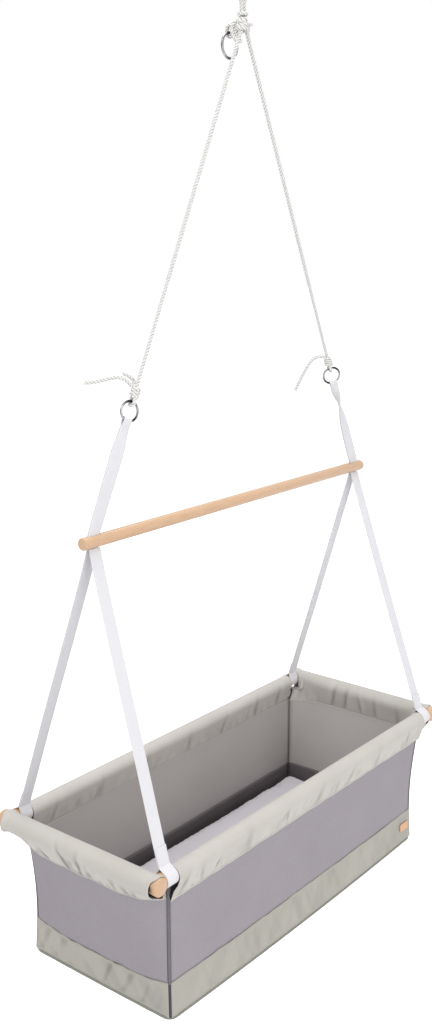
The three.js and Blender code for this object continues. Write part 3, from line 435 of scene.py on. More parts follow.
WHITE_ROPE = rope_finish()
WEBBING = webbing_finish()
BAR_WOOD = wood_finish("beech_lengthways", "X")
END_WOOD = wood_finish("beech_crossways", "Y")
CHROME = chrome_finish()
STEEL = steel_finish()
SLEEVE = sleeve_finish("stone_grey_cloth", (205, 201, 195), (186, 182, 175))
BAND = sleeve_finish("stone_grey_band_cloth", (172, 169, 160), (156, 153, 143))
MESH = mesh_finish()
INNER = inner_finish("inner_cloth", (186, 181, 179), (172, 167, 165))
# painted shade: this dark inner cloth stands for the shade inside the sleeves and low inside the
# walls
PAINTED_SHADE_INNER = inner_finish("painted_shade_inner_cloth", (112, 106, 108), (94, 88, 91))
BINDING = trim_finish("grey_binding", (134, 129, 136), (98, 93, 101))
BINDING_EDGE = trim_finish("dark_binding_edge", (84, 78, 86), (62, 57, 65), 700)
WELT = trim_finish("green_grey_piping", (156, 158, 148), (126, 128, 118))
THREAD = trim_finish("grey_thread", (118, 114, 114), (84, 80, 82), 1400)
BAND_THREAD = trim_finish("stone_grey_thread", (204, 201, 194), (182, 179, 172), 1400)
PALE_THREAD = trim_finish("white_thread", (240, 239, 243), (205, 203, 210), 1400)
COTTON = mattress_finish()
LEATHER = leather_finish()
BOARD = board_finish()

# Making pieces


def take(name):
    piece = bpy.context.object
    piece.name = name
    piece.data.name = name
    return piece


def only(piece):
    bpy.ops.object.select_all(action="DESELECT")
    piece.select_set(True)
    bpy.context.view_layer.objects.active = piece


def apply(piece, kind, **settings):
    only(piece)
    modifier = piece.modifiers.new(kind.lower(), kind)
    for key, value in settings.items():
        setattr(modifier, key, value)
    bpy.ops.object.modifier_apply(modifier=modifier.name)


def soften(piece, width, segments, sharpest, **settings):
    """Bevels the edges that turn by more than an angle, in degrees."""
    limit = {"limit_method": "ANGLE", "angle_limit": math.radians(sharpest)}
    apply(piece, "BEVEL", width=width * MM, segments=segments, **limit, **settings)


def cut_away(piece, cutter):
    apply(piece, "BOOLEAN", operation="DIFFERENCE", solver="EXACT", object=cutter)
    bpy.data.objects.remove(cutter)


def edit(piece, *steps):
    """Runs edit-mode operators on the whole of a piece, each with its settings."""
    only(piece)
    bpy.ops.object.mode_set(mode="EDIT")
    bpy.ops.mesh.select_all(action="SELECT")
    for operator, settings in steps:
        operator(**settings)
    bpy.ops.object.mode_set(mode="OBJECT")


FACE_OUT = (bpy.ops.mesh.normals_make_consistent, {"inside": False})
TURN_OVER = (bpy.ops.mesh.flip_normals, {})


def settle(piece):
    """Moves the piece's place into its mesh, so that its object lies at the origin."""
    only(piece)
    bpy.ops.object.transform_apply(location=True, rotation=True, scale=True)


def smooth(piece, angle=None):
    only(piece)
    if angle is None:
        bpy.ops.object.shade_smooth()
    else:
        bpy.ops.object.shade_smooth_by_angle(angle=math.radians(angle))


def finished(piece, material, body, slot, *nodes):
    """Gives a piece its finish, the body it rides on and the nodes it stands for."""
    if material is not None:
        piece.data.materials.clear()
        piece.data.materials.append(material)
    if body is not None:
        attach(piece, body)
    if nodes:
        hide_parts(*nodes)


def new_mesh(name, points, faces):
    mesh = bpy.data.meshes.new(name)
    mesh.from_pydata([tuple(p) for p in points], [], faces)
    mesh.update()
    piece = bpy.data.objects.new(name, mesh)
    bpy.context.scene.collection.objects.link(piece)
    return piece


def grid(name, columns, rows):
    """A plain grid of faces. Its points count along each row, from the first row on."""
    bpy.ops.mesh.primitive_grid_add(x_subdivisions=columns, y_subdivisions=rows, size=1)
    return take(name)


def map_points(piece, place):
    """Sets the UV map from place(number of the point), in metres."""
    layer = piece.data.uv_layers.active
    for loop in piece.data.loops:
        layer.data[loop.index].uv = place(loop.vertex_index)


def joined_into_one(name, pieces):
    only(pieces[0])
    for piece in pieces[1:]:
        piece.select_set(True)
    bpy.ops.object.join()
    return take(name)


def even_run(line, count_for):
    """Points evenly spaced along a line. count_for(its length) says how many."""
    line = np.array(line)
    run = np.concatenate([[0], np.cumsum(np.linalg.norm(np.diff(line, axis=0), axis=1))])
    even = np.linspace(0, run[-1], count_for(run[-1]))
    spread = [np.interp(even, run, line[:, k]) for k in range(line.shape[1])]
    return np.stack(spread, axis=1), run[-1]


def stitch_marks(name, spots, length, thick, material, body, slot):
    """Short rounded threads at spots of (middle, direction, normal)."""
    rows = [(-0.32, 0.85), (0.0, 1.0), (0.32, 0.85)]
    sides = 6
    points, faces = [], []
    for middle, heading, normal in spots:
        heading = heading.normalized()
        up = (normal - heading * normal.dot(heading)).normalized()
        side = heading.cross(up)
        start = len(points)
        for place, swell in rows:
            for k in range(sides):
                angle = 2 * math.pi * k / sides
                rad = thick / 2 * swell * MM
                round_it = up * (math.cos(angle) * rad) + side * math.sin(angle) * rad
                points.append(middle + heading * place * length * MM + round_it)
        tips = (start + 3 * sides, start + 3 * sides + 1)
        points.append(middle + heading * -0.5 * length * MM)
        points.append(middle + heading * 0.5 * length * MM)
        for k in range(sides):
            n = (k + 1) % sides
            faces.append((start + k, tips[0], start + n))
            for row in range(2):
                a, b = start + row * sides, start + (row + 1) * sides
                faces.append((a + k, a + n, b + n, b + k))
            faces.append((start + 2 * sides + k, start + 2 * sides + n, tips[1]))
    piece = new_mesh(name, points, faces)
    edit(piece, FACE_OUT)
    piece.data.uv_layers.new(name="UVMap")
    smooth(piece)
    finished(piece, material, body, slot)

# Rope


def spline(points, spacing):
    """Points at an even spacing along a smooth curve through the given ones."""
    pts = [Vector(p) for p in points]
    if len(pts) == 2:
        dense = [pts[0].lerp(pts[1], i / 200) for i in range(201)]
    else:
        pts = [pts[0] * 2 - pts[1]] + pts + [pts[-1] * 2 - pts[-2]]
        dense = []
        for a, b, c, d in zip(pts, pts[1:], pts[2:], pts[3:]):
            square, cube = 2 * a - 5 * b + 4 * c - d, 3 * b - a - 3 * c + d
            for t in (i / 24 for i in range(24)):
                dense.append(0.5 * (2 * b + (c - a) * t + square * t * t + cube * t ** 3))
        dense.append(pts[-2])
    return even_run(dense, lambda length: max(2, int(round(length / spacing)) + 1))


def carried_frames(line, joined):
    """Two directions across the line at each point, carried along it without twist."""
    ahead = np.roll(line, -1, axis=0) - np.roll(line, 1, axis=0)
    if not joined:
        ahead[0], ahead[-1] = line[1] - line[0], line[-1] - line[-2]
    ahead /= np.linalg.norm(ahead, axis=1)[:, None]
    first = np.cross(ahead[0], [0.31, 0.17, 0.93])
    first /= np.linalg.norm(first)
    across = [first]
    for heading in ahead[1:]:
        turned = across[-1] - heading * np.dot(across[-1], heading)
        across.append(turned / np.linalg.norm(turned))
    across = np.array(across)
    if joined:
        closing = across[-1] - ahead[0] * np.dot(across[-1], ahead[0])
        sideways = np.dot(np.cross(closing, across[0]), ahead[0])
        miss = math.atan2(sideways, np.dot(closing, across[0]))
        shares = np.arange(len(line)) / len(line) * miss
        other = np.cross(ahead, across)
        across = across * np.cos(shares)[:, None] + other * np.sin(shares)[:, None]
    return ahead, across, np.cross(ahead, across)


def rope_section(radius, around):
    """Three strands side by side, cut across: how far out each point lies, and how near a crest."""
    angle = 2 * math.pi * np.arange(around) / around
    strand = (angle + math.pi / 3) % (2 * math.pi / 3) - math.pi / 3
    inner, lobe = 0.457 * radius, 0.543 * radius
    section = inner * np.cos(strand) + np.sqrt(lobe ** 2 - (inner * np.sin(strand)) ** 2)
    return angle, section, (section - section.min()) / (section.max() - section.min())


def rope(name, points, diameter=ROPE, joined=False, cut_ends=(True, True)):
    """Three-strand rope laid along a smooth route. Its grooves are part of its shape."""
    radius = diameter / 2 * MM
    line, length = spline([*points, points[0]] if joined else points, 0.85 * MM)
    if joined:
        line = line[:-1]
    ahead, across, other = carried_frames(line, joined)
    around = 24
    angle, section, crest = rope_section(radius, around)
    turns = length / (ROPE_LAY * MM)
    if joined:
        turns = round(turns * 3) / 3
    count = len(line)
    spin = 2 * math.pi * turns * np.arange(count) / (count if joined else count - 1)
    swell = np.ones(count)
    for end, is_cut in enumerate(cut_ends):
        if is_cut and not joined:
            for step, share in enumerate((0.72, 0.9, 0.98)):
                swell[step if end == 0 else count - 1 - step] = share
    theta = spin[:, None] + angle[None, :]
    rad = section[None, :] * swell[:, None]
    out = across[:, None, :] * (rad * np.cos(theta))[:, :, None]
    out += other[:, None, :] * (rad * np.sin(theta))[:, :, None]
    skin = (line[:, None, :] + out).reshape(-1, 3)
    i, k = np.meshgrid(np.arange(count if joined else count - 1), np.arange(around), indexing="ij")
    after, up = (i + 1) % count, (k + 1) % around
    quads = (i * around + k, i * around + up, after * around + up, after * around + k)
    faces = [tuple(q) for q in np.stack(quads, axis=-1).reshape(-1, 4).tolist()]
    if not joined:
        skin = np.vstack([skin, line[0] - ahead[0] * 0.3 * MM, line[-1] + ahead[-1] * 0.3 * MM])
        crest_ends = [0.7, 0.7]
        start, end, last = count * around, count * around + 1, (count - 1) * around
        for side in range(around):
            beside = (side + 1) % around
            faces += [(start, beside, side), (end, last + side, last + beside)]
    else:
        crest_ends = []
    piece = new_mesh(name, skin, faces)
    mesh = piece.data
    uv = []
    for ring, side in zip(i.ravel(), k.ravel()):
        a, b = ring / count * length, (ring + 1) / count * length
        c, d = (2 * math.pi * radius * edge / around for edge in (side, side + 1))
        uv += [a, c, a, d, b, d, b, c]
    uv += [0.0] * (2 * len(mesh.loops) - len(uv))
    mesh.uv_layers.new(name="UVMap").data.foreach_set("uv", uv)
    crests = np.concatenate([np.tile(crest, count), crest_ends]).astype(np.float32)
    # the crest share, from which the rope's finish paints shade into the grooves
    mesh.attributes.new("crest", "FLOAT", "POINT").data.foreach_set("value", crests)
    mesh.polygons.foreach_set("use_smooth", [True] * len(mesh.polygons))
    mesh.update()
    return piece


def circle(centre, axis, radius, count=24):
    """Points round a circle, in metres."""
    axis = axis.normalized()
    first = axis.orthogonal().normalized()
    second = axis.cross(first)
    turns = (2 * math.pi * i / count for i in range(count))
    return [centre + (first * math.cos(t) + second * math.sin(t)) * radius for t in turns]


# Ends of the sling: where each side ring hangs, and which way the rope pulls on it

LEG_AIM = {"left": -6, "right": 12}
RING_TURN = {"left": -12, "right": -40}


def leg_head(side):
    return hook(LEG_AIM[side], 0, LEG_HEAD)


def sling_end(side):
    """The ring's centre, the way up the rope, the way out of the ring's face and across it."""
    centre = hook(SIDES[side] * RING_X, 0, RING_Z)
    up = (leg_head(side) - centre).normalized()
    normal = Matrix.Rotation(math.radians(RING_TURN[side]), 3, up) @ Vector((0, -1, 0))
    return centre, up, normal, normal.cross(up)


# Free rope ends, as listed routes

TAILS = {
    "rope_tail_left_long": [
        (-277.2, 4.9, -624.2), (-278.9, 7.1, -621.5), (-280.8, 9.1, -618.7),
        (-282.9, 11.5, -616.3), (-285.3, 14.4, -614.3), (-288.2, 18.0, -613.2),
        (-291.9, 22.6, -613.2), (-296.1, 27.8, -614.3), (-300.5, 33.2, -615.9),
        (-304.9, 38.6, -617.5), (-309.1, 43.8, -618.9), (-312.9, 48.6, -620.1),
        (-316.5, 53.2, -621.0), (-319.7, 57.6, -621.5), (-322.5, 61.8, -621.6),
    ],
    "rope_tail_left_short": [
        (-263.1, 13.7, -618.4), (-264.2, 14.9, -616.4), (-265.3, 16.2, -614.6),
        (-266.5, 17.6, -613.1), (-267.8, 19.2, -611.9), (-269.1, 20.8, -610.9),
        (-270.4, 22.5, -610.2), (-271.8, 24.2, -609.7), (-273.2, 25.9, -609.4),
    ],
    "rope_tail_right": [
        (267.2, 8.3, -628.3), (264.8, 11.1, -627.5), (262.2, 14.2, -627.7), (259.7, 17.4, -628.9),
        (257.3, 20.6, -631.0), (255.1, 23.7, -634.0), (253.0, 26.6, -638.0), (251.0, 29.4, -642.8),
        (249.1, 32.2, -648.4), (247.2, 35.0, -654.6), (245.3, 37.8, -661.2), (243.4, 40.6, -668.0),
        (241.5, 43.3, -674.8), (239.7, 45.9, -681.4), (238.0, 48.2, -687.6), (236.4, 50.2, -693.1),
    ],
}


def make_tails():
    for name, route in TAILS.items():
        points = [hook(*p) for p in route]
        tail = rope(name + "_rope", points, cut_ends=(False, True))
        finished(tail, WHITE_ROPE, "hanger", "rope", name)
        line, length = spline(points, 1 * MM)


make_tails()

# Sling: hanging loop, collar turn, knots and legs


def make_hanging_loop():
    side = [
        (3.8, -46.5), (3.6, -42.0), (3.6, -36.0), (4.2, -30.0),
        (7.9, -23.0), (11.1, -14.5), (9.0, -4.0),
    ]
    up = [hook(x, 0, z) for x, z in side]
    down = [hook(-x, 0, z) for x, z in reversed(side)]
    loop = rope("loop_rope", up + [hook(0, 0, 3.5)] + down, cut_ends=(False, False))
    finished(loop, WHITE_ROPE, "loop", "rope", "hanging_loop")


def make_collar():
    turns, high, low, radius = 1.35, -46.4, -50.4, 6.0
    route = []
    for share in (i / 30 for i in range(31)):
        angle = 2 * math.pi * turns * share + 0.6
        x, y = radius * math.cos(angle), radius * math.sin(angle)
        route.append(hook(x, y, lerp(high, low, share)))
    finished(rope("collar_rope", route), WHITE_ROPE, "collar", "rope", "collar_turn")


def head_coil():
    """The coil wound on the round head of the top knot."""
    radius, turns = 6.0, 1.75
    route = []
    for share in (i / 40 for i in range(41)):
        polar = lerp(0.42, 1.75, share)
        angle = 2 * math.pi * turns * share
        flat = radius * math.sin(polar)
        across, up = flat * math.cos(angle), flat * math.sin(angle)
        route.append(below_pivot(-radius * math.cos(polar), across, up))
    return rope("head_coil", route)


def ring_bight():
    """The bend of rope that the top ring hangs in."""
    middle_y, middle_z, high, low = 24.5, -75, -63.6, -70.0
    wrap = TOP_RING_WIRE / 2 + CLEAR + ROPE / 2
    route = [(3.5, low), (11.0, low)]
    for i in range(5):
        angle = math.pi * (1 + i / 4)
        route.append((middle_y + wrap * math.cos(angle), middle_z + wrap * math.sin(angle)))
    route += [(29.5, lerp(middle_z, high, 0.6)), (middle_y, high), (3.5, high)]
    return rope("ring_bight", [hook(-3, y, z) for y, z in route])


def make_top_knot():
    wide, wider = 7.6, 7.8  # rope that is pressed flat round the knot shows wider
    parts = [head_coil()]
    for drop, lean in ((5.0, -11), (11.5, 11)):
        tilt = math.radians(lean)
        ring = circle(below_pivot(drop), Vector((math.sin(tilt), 0, math.cos(tilt))), 7.5 * MM)
        parts.append(rope("wrap", ring, wider, joined=True))
    lobe = [(5, 3.5), (5, 10.4), (9.2, 14.3), (15.2, 13.6), (19.2, 12.6)]
    parts.append(rope("lobe", [below_pivot(*at) for at in lobe], wide, cut_ends=(True, False)))
    stub_start = below_pivot(3.4)
    stub_end = Matrix.Rotation(math.radians(-25), 3, "Z") @ (Vector((17.5, 0, 0)) * MM) + stub_start
    parts.append(rope("stub", [stub_start, stub_start.lerp(stub_end, 0.5), stub_end]))
    parts.append(ring_bight())
    # two rope parts that come over the near side of the bight and down beside the wraps
    saddle = [
        (0, 5, -58), (-5, 11.5, -60), (-8, 15.5, -68),
        (-10, 12.5, -79), (-11.5, 6, -87), (-11.5, 1, -90),
    ]
    for shift in ((0, 0, 0), (4.5, -4.5, -1.5)):
        over = [hook(*(c + d for c, d in zip(point, shift))) for point in saddle]
        parts.append(rope("saddle", over, wide))
    finished(joined_into_one("top_knot_rope", parts), WHITE_ROPE, "knot", "rope", "top_knot")


def make_leg(side):
    centre, up, _, _ = sling_end(side)
    aim = leg_head(side)
    root = below_pivot(14.5, 13.8) if side == "right" else below_pivot(6, -1.5)
    bottom = centre + up * 25 * MM
    route = [root, aim, *(aim.lerp(bottom, share) for share in (0.04, 0.3, 0.6, 0.9)), bottom]
    leg = rope(f"leg_rope_{side}", route, cut_ends=(False, False))
    finished(leg, WHITE_ROPE, None, "rope", f"rope_leg_{side}")
    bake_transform(leg)


def make_side_knot(side):
    """An eye round the ring, three turns over it and the roots of the free ends."""
    centre, up, normal, across = sling_end(side)
    wrap = (RING_WIRE / 2 + CLEAR + ROPE / 2) * MM
    eye = []
    for angle in (math.pi * i / 8 for i in range(9)):
        height = RING_RADIUS * MM - wrap * math.sin(angle)
        eye.append(centre + up * height + normal * (wrap * math.cos(angle)))
    neck = [centre + up * 26 * MM + normal * (sign * 3.6 * MM) for sign in (1, -1)]
    parts = [rope("eye", [neck[0], *eye, neck[1]])]
    turns, first_turn, rise, radius = 3, 23.4, 17.6, 5.1
    route = []
    for share in (i / 72 for i in range(73)):
        angle = 2 * math.pi * turns * share + (0.4 if side == "left" else 2.2)
        out = across * math.cos(angle) + normal * math.sin(angle)
        route.append(centre + up * (first_turn + rise * share) * MM + out * radius * MM)
    parts.append(rope("turns", route))
    for name, tail in TAILS.items():
        if side not in name:
            continue
        start, second = hook(*tail[0]), hook(*tail[1])
        heading = (second - start).normalized()
        outward = start - centre
        outward -= up * outward.dot(up)
        root = centre + up * 35.8 * MM + outward.normalized() * 3.5 * MM
        route = [root, start - heading * 3.4 * MM, start]
        parts.append(rope("root", route, cut_ends=(True, False)))
    knot = joined_into_one(f"ring_knot_rope_{side}", parts)
    finished(knot, WHITE_ROPE, "hanger", "rope", f"ring_knot_{side}")


make_hanging_loop()
make_collar()
make_top_knot()
for side in SIDES:
    make_leg(side)
    make_side_knot(side)

# Chrome rings: bent from wire and welded shut, with the small swell of the weld


def make_ring(name, node, centre, normal, radius, wire, weld):
    bpy.ops.mesh.primitive_torus_add(
        major_segments=112, minor_segments=20, major_radius=radius * MM, minor_radius=wire / 2 * MM,
    )
    ring = take(name)
    for vertex in ring.data.vertices:
        angle = math.atan2(vertex.co.y, vertex.co.x)
        off = ((angle - weld + math.pi) % (2 * math.pi) - math.pi) * radius
        middle = Vector((math.cos(angle), math.sin(angle), 0)) * radius * MM
        swell = 1 + 0.05 * bump_at(off, 0, 1.6) - 0.03 * bump_at(off, 0, 0.35)
        vertex.co = middle + (vertex.co - middle) * swell
    facing = normal.to_track_quat("Z", "Y").to_matrix().to_4x4()
    ring.matrix_world = Matrix.Translation(centre) @ facing
    settle(ring)
    smooth(ring)
    finished(ring, CHROME, node, "chrome", node)


make_ring("top_ring_chrome", "top_ring", hook(-3, 24.5, -95), Vector((0, 1, 0)),
          TOP_RING_RADIUS, TOP_RING_WIRE, 1.2)
for side in SIDES:
    centre, _, normal, _ = sling_end(side)
    name, node = f"side_ring_chrome_{side}", f"ring_{side}"
    make_ring(name, node, centre, normal, RING_RADIUS, RING_WIRE, 0.9)

# Webbing


def ribbon(name, stations):
    """A strap through stations of (middle, across, normal, width, cup), mapped in metres."""
    columns = 8
    piece = grid(name, columns, len(stations) - 1)
    run, runs = 0.0, []
    for i, (at, across, _, width, cup) in enumerate(stations):
        if i:
            run += (at - stations[i - 1][0]).length
        runs.append(run)
        for k in range(columns + 1):
            offset = (k / columns - 0.5) * width
            bent = cup(offset) if cup else Vector((0, 0, 0))
            piece.data.vertices[i * (columns + 1) + k].co = at + across * offset + bent

    def place(number):
        row, column = divmod(number, columns + 1)
        return column / columns * WEBBING_WIDTH * MM, runs[row]

    map_points(piece, place)
    apply(piece, "SOLIDIFY", thickness=WEBBING_THICKNESS * MM, offset=0)
    soften(piece, 0.35, 2, 50)
    smooth(piece, 40)
    return piece


GATHER = {"left": 60, "right": 78}  # length over which a strap is gathered toward its ring
STRAP_TURN = {"left": -12, "right": 140}  # the right strap went through its ring half a turn round


def make_upper_strap(side):
    """Webbing that goes up from a slot of the bar, round the wire of its ring and down again."""
    centre = sling_end(side)[0]
    bar_top = hook(SIDES[side] * SLOT_X, 0, BAR + BAR_RADIUS)
    pull = (bar_top - centre).normalized()
    wire = centre + pull * RING_RADIUS * MM
    span = (wire - bar_top).length / MM
    apart, round_ring, gathered = 0.95, RING_WIRE / 2 + 0.8 + WEBBING_THICKNESS / 2, 15

    def cup(lift):
        inside = RING_RADIUS * MM
        return lambda offset: pull * -lift * (inside - math.sqrt(max(0, inside ** 2 - offset ** 2)))

    def frame_at(height):
        share = min(1.0, max(0.0, height / span))
        slant = Vector((0, 0, -1)).lerp(pull, ease(height, 0, 25)).normalized()
        turned = ease(share, 0.15, 1) if side == "left" else min(1.0, share / 0.95) ** 4.6
        turn = math.radians(STRAP_TURN[side]) * turned
        normal = Matrix.Rotation(-turn, 3, pull) @ Vector((0, -1, 0))
        return normal, normal.cross(slant).normalized()

    def layer_at(height, sign):
        normal, across = frame_at(height)
        lift = ease(height, span - 30, span - 7)
        if height < 0:
            middle = bar_top + Vector((0, 0, height * MM))
        else:
            middle = bar_top.lerp(wire, height / span)
        off = lerp(apart, round_ring, ease(height, span - 14, span)) * MM
        width = lerp(WEBBING_WIDTH, gathered, ease(height, span - GATHER[side], span)) * MM
        return middle + normal * sign * off, across, normal * sign, width, cup(lift)

    heights = [-18.4, -9, 0, 6, 12, 18, 25] + [lerp(25, span, i / 44) for i in range(1, 45)]
    stations = [layer_at(h, 1) for h in heights]
    normal, across = frame_at(span)
    for angle in (math.pi * i / 14 for i in range(1, 14)):
        out = normal * math.cos(angle) - pull * math.sin(angle)
        stations.append((wire + out * round_ring * MM, across, out, gathered * MM, cup(1)))
    stations += [layer_at(h, -1) for h in reversed(heights)]
    strap = ribbon(f"upper_webbing_{side}", stations)
    finished(strap, WEBBING, "hanger", "webbing", f"upper_strap_{side}")


def make_lower_strap(side, face):
    """Webbing from the bar to a long dowel, round it and back up to where it is sewn."""
    side_sign, face_sign = SIDES[side], FACES[face]
    layer, wrap = 0.9, LONG_RADIUS + 0.3 + WEBBING_THICKNESS / 2
    dowel = Vector((side_sign * STRAP_X, face_sign * LONG_Y, 0.0))
    top = Vector((side_sign * SLOT_X, face_sign * 1.2, 498.4))
    run = Vector((0, top.y - dowel.y, top.z))
    reach = run.length
    rise = run.normalized()
    out = Vector((0, face_sign * rise.z, -face_sign * rise.y))
    across = Vector((1, 0, 0))
    loop_height, box_height = 19.0, 30.0
    width = WEBBING_WIDTH * MM

    def lean(height):
        return lerp(dowel.x, top.x, max(0.0, height - loop_height) / (reach - loop_height))

    def straight(height, sign):
        offset = layer * sign * ease(reach - height, 6, 46)
        middle = dowel + rise * height + out * offset
        sway = 0.5 * math.sin(height / 70.0 + side_sign)
        sway *= ease(reach - height, 0, 60) * ease(height, 40, 120)
        middle = Vector((lean(height), middle.y, middle.z)) + out * sway
        return rim(*middle), across, out * sign, width, None

    stations = [straight(lerp(reach - 2.4, loop_height, i / 40), -1) for i in range(41)]
    tangent = math.acos(wrap / loop_height)
    for i in range(33):
        angle = lerp(tangent, 2 * math.pi - tangent, i / 32)
        away = rise * math.cos(angle) - out * math.sin(angle)
        stations.append((rim(*(dowel + away * wrap)), across, away, width, None))
    stations += [straight(loop_height + box_height * i / 4, 1) for i in range(5)]
    strap = ribbon(f"lower_webbing_{face}_{side}", stations)
    finished(strap, WEBBING, "crib", "webbing", f"lower_strap_{face}_{side}")

    # the sewn box: two rows across and two along, on both faces
    rows = [((i - 4) * 2.6, height, across) for height in (3, box_height - 3) for i in range(9)]
    rows += [(edge * 10.4, 4.5 + i * 3, rise) for edge in (-1, 1) for i in range(8)]
    spots = []
    for sign in (1, -1):
        lifted = out * sign * (layer + 0.75)
        for aside, up, heading in rows:
            height = loop_height + up
            middle = Vector((lean(height) + aside, dowel.y, 0)) + rise * height + lifted
            spots.append((rim(*middle), heading, out * sign))
    stitch_marks(f"loop_stitches_{face}_{side}", spots, 2.2, 0.5, PALE_THREAD, "crib", "webbing")


for side in SIDES:
    make_upper_strap(side)
    for face in FACES:
        make_lower_strap(side, face)

# Wood


def turned_stick(name, radius, length, middle, axis, chamfer, cutters):
    """A dowel turned from a cylinder, with softened chamfers and what is bored or cut out of it."""
    turn = (0, math.pi / 2, 0) if axis == "X" else (math.pi / 2, 0, 0)
    bpy.ops.mesh.primitive_cylinder_add(
        vertices=72, radius=radius * MM, depth=length * MM, location=middle, rotation=turn,
    )
    stick = take(name)
    settle(stick)
    soften(stick, chamfer, 3, 60, profile=0.4)
    for cutter in cutters:
        cut_away(stick, cutter)
    soften(stick, 0.25, 2, 50)
    smooth(stick, 35)
    return stick


def slot_cutter(x):
    bpy.ops.mesh.primitive_cube_add(size=1, location=hook(x, 0, BAR))
    block = take("slot_cutter")
    block.scale = (31.8 * MM, 4 * MM, 30 * MM)
    settle(block)
    soften(block, 1.9, 5, 50)
    return block


def drill(radius, start, end):
    run = end - start
    bpy.ops.mesh.primitive_cylinder_add(
        vertices=40, radius=radius * MM, depth=run.length, location=start.lerp(end, 0.5),
    )
    bit = take("drill")
    bit.rotation_euler = run.to_track_quat("Z", "Y").to_euler()
    settle(bit)
    return bit


def pin(name, sides, radius, length, middle):
    """A plain round or six-sided bar on the Z axis."""
    bpy.ops.mesh.primitive_cylinder_add(
        vertices=sides, radius=radius * MM, depth=length * MM, location=(0, 0, middle * MM),
    )
    return take(name)


def make_screw(name, sign, way, node):
    """A domed screw with a six-sided socket, and the smooth part of its shank."""
    head = pin(name, 36, 4.2, 2.2, 1.1)
    soften(head, 1.4, 5, 50)
    cut_away(head, pin("socket", 6, 1.5, 3, 2.4))
    shank = pin("shank", 20, 2, 46, -22.9)
    soften(shank, 0.6, 2, 50)
    screw = joined_into_one(name, [head, shank])
    facing = Vector((sign, 0, 0)).to_track_quat("Z", "Y").to_matrix().to_4x4()
    screw.matrix_world = Matrix.Translation(rim(sign * 437.8, way * LONG_Y, 0)) @ facing
    settle(screw)
    smooth(screw, 30)
    finished(screw, STEEL, "crib", "steel", node)


def make_wood():
    bore, seat = 5, (437.7, 447)  # the holes that the screws' heads sit in
    slots = [slot_cutter(-SLOT_X), slot_cutter(SLOT_X)]
    bar = turned_stick("bar_stick", BAR_RADIUS, BAR_LENGTH, hook(0, 0, BAR), "X", 1.6, slots)
    finished(bar, BAR_WOOD, "hanger", "wood", "spreader_bar")
    for side, sign in SIDES.items():
        seats = [drill(bore, *(rim(sign * x, y, 0) for x in seat)) for y in (-LONG_Y, LONG_Y)]
        name, middle = f"short_stick_{side}", rim(sign * SHORT_X, 0, 0)
        stick = turned_stick(name, SHORT_RADIUS, SHORT_LENGTH, middle, "Y", 1.5, seats)
        finished(stick, END_WOOD, "crib", "wood", f"short_dowel_{side}")
        for face, way in FACES.items():
            make_screw(f"screw_{face}_{side}", sign, way, f"corner_screw_{face}_{side}")
    for face, sign in FACES.items():
        copes = [
            drill(SHORT_RADIUS + 0.3, rim(x, -180, 0), rim(x, 180, 0)) for x in (-SHORT_X, SHORT_X)
        ]
        name, middle = f"long_stick_{face}", rim(0, sign * LONG_Y, 0)
        stick = turned_stick(name, LONG_RADIUS, LONG_LENGTH, middle, "X", 0.3, copes)
        finished(stick, BAR_WOOD, "crib", "wood", f"long_dowel_{face}")


make_wood()

# Shape of the walls

WALLS = {"near": ("long", -1), "far": ("long", 1), "left": ("short", -1), "right": ("short", 1)}


def depth_share(z):
    return (SEAM - z) / (SEAM - FOOT)


def corner_at(share):
    drawn = 5 * math.sin(math.pi * share)
    return tuple(lerp(a, b, share) - drawn for a, b in zip(CORNER_TOP, CORNER_FOOT))


def seam_dip(wall, across):
    """How far the seam between mesh and band hangs below its corners."""
    return (4.0 if wall == "long" else 11.0) * (1 - abs(across) ** 2.5)


def foot_sag(wall, across):
    """How far the foot of a wall hangs below its corners."""
    return (2.4 if wall == "long" else 0.0) * (1 - across ** 2)


def foot_belly(wall, across):
    """How far the bed pushes the foot of a wall out."""
    return (3.0 if wall == "long" else 1.0) * (1 - across ** 2)


def reach_at(wall, across, share):
    """How far out a wall stands, across from -1 to 1 between its corners and down by a share."""
    own, top = (1, LONG_Y) if wall == "long" else (0, SHORT_TOP)
    fan = max(0.0, 1 - share) ** 1.6 * (1 - abs(across) ** 6)
    bow = 2.5 * (1 - across ** 2) * math.sin(math.pi * share)
    corner = corner_at(share)[own] + (top - CORNER_TOP[own]) * fan
    return corner - bow + foot_belly(wall, across) * ease(share, 0.55, 1)


def on_wall(wall, sign, across, z, inward, margin):
    """A point of a wall, inward from its face and kept a margin away from its corners."""
    share = min(1.0, max(0.0, depth_share(z)))
    corner = corner_at(share)
    out = sign * (reach_at(wall, across, share) - inward)
    if wall == "long":
        return Vector((across * (corner[0] - margin), out, z))
    return Vector((out, across * (corner[1] - margin), z))


def cloth(name, columns, rows, place, width, length, inside, painted_crease_shade=None):
    """A sheet of cloth from a grid, its UV map in metres and its face away from a point inside.
    place(u, v) puts it in millimetres from the rim, u across and v down. The last argument says
    how dark its creases are painted there, from 0 to 1: painted shade, kept in a point attribute."""
    sheet = grid(name, columns, rows)
    # the painted shade of the creases, stored for the cloth's finish
    shade = sheet.data.attributes.new("painted_crease_shade", "FLOAT", "POINT") if painted_crease_shade else None
    for vertex in sheet.data.vertices:
        u, v = vertex.co.x + 0.5, vertex.co.y + 0.5
        if painted_crease_shade:
            shade.data[vertex.index].value = min(1.0, max(0.0, painted_crease_shade(u, v)))
        vertex.co = rim(*place(u, v))
    for spot in sheet.data.uv_layers.active.data:
        spot.uv = (spot.uv[0] * width * MM, spot.uv[1] * length * MM)
    sheet.data.update()
    inner = rim(*inside)
    faces = sheet.data.polygons
    if sum((face.center - inner).dot(face.normal) * face.area for face in faces) < 0:
        edit(sheet, TURN_OVER)
    return sheet


# Sheets of the walls


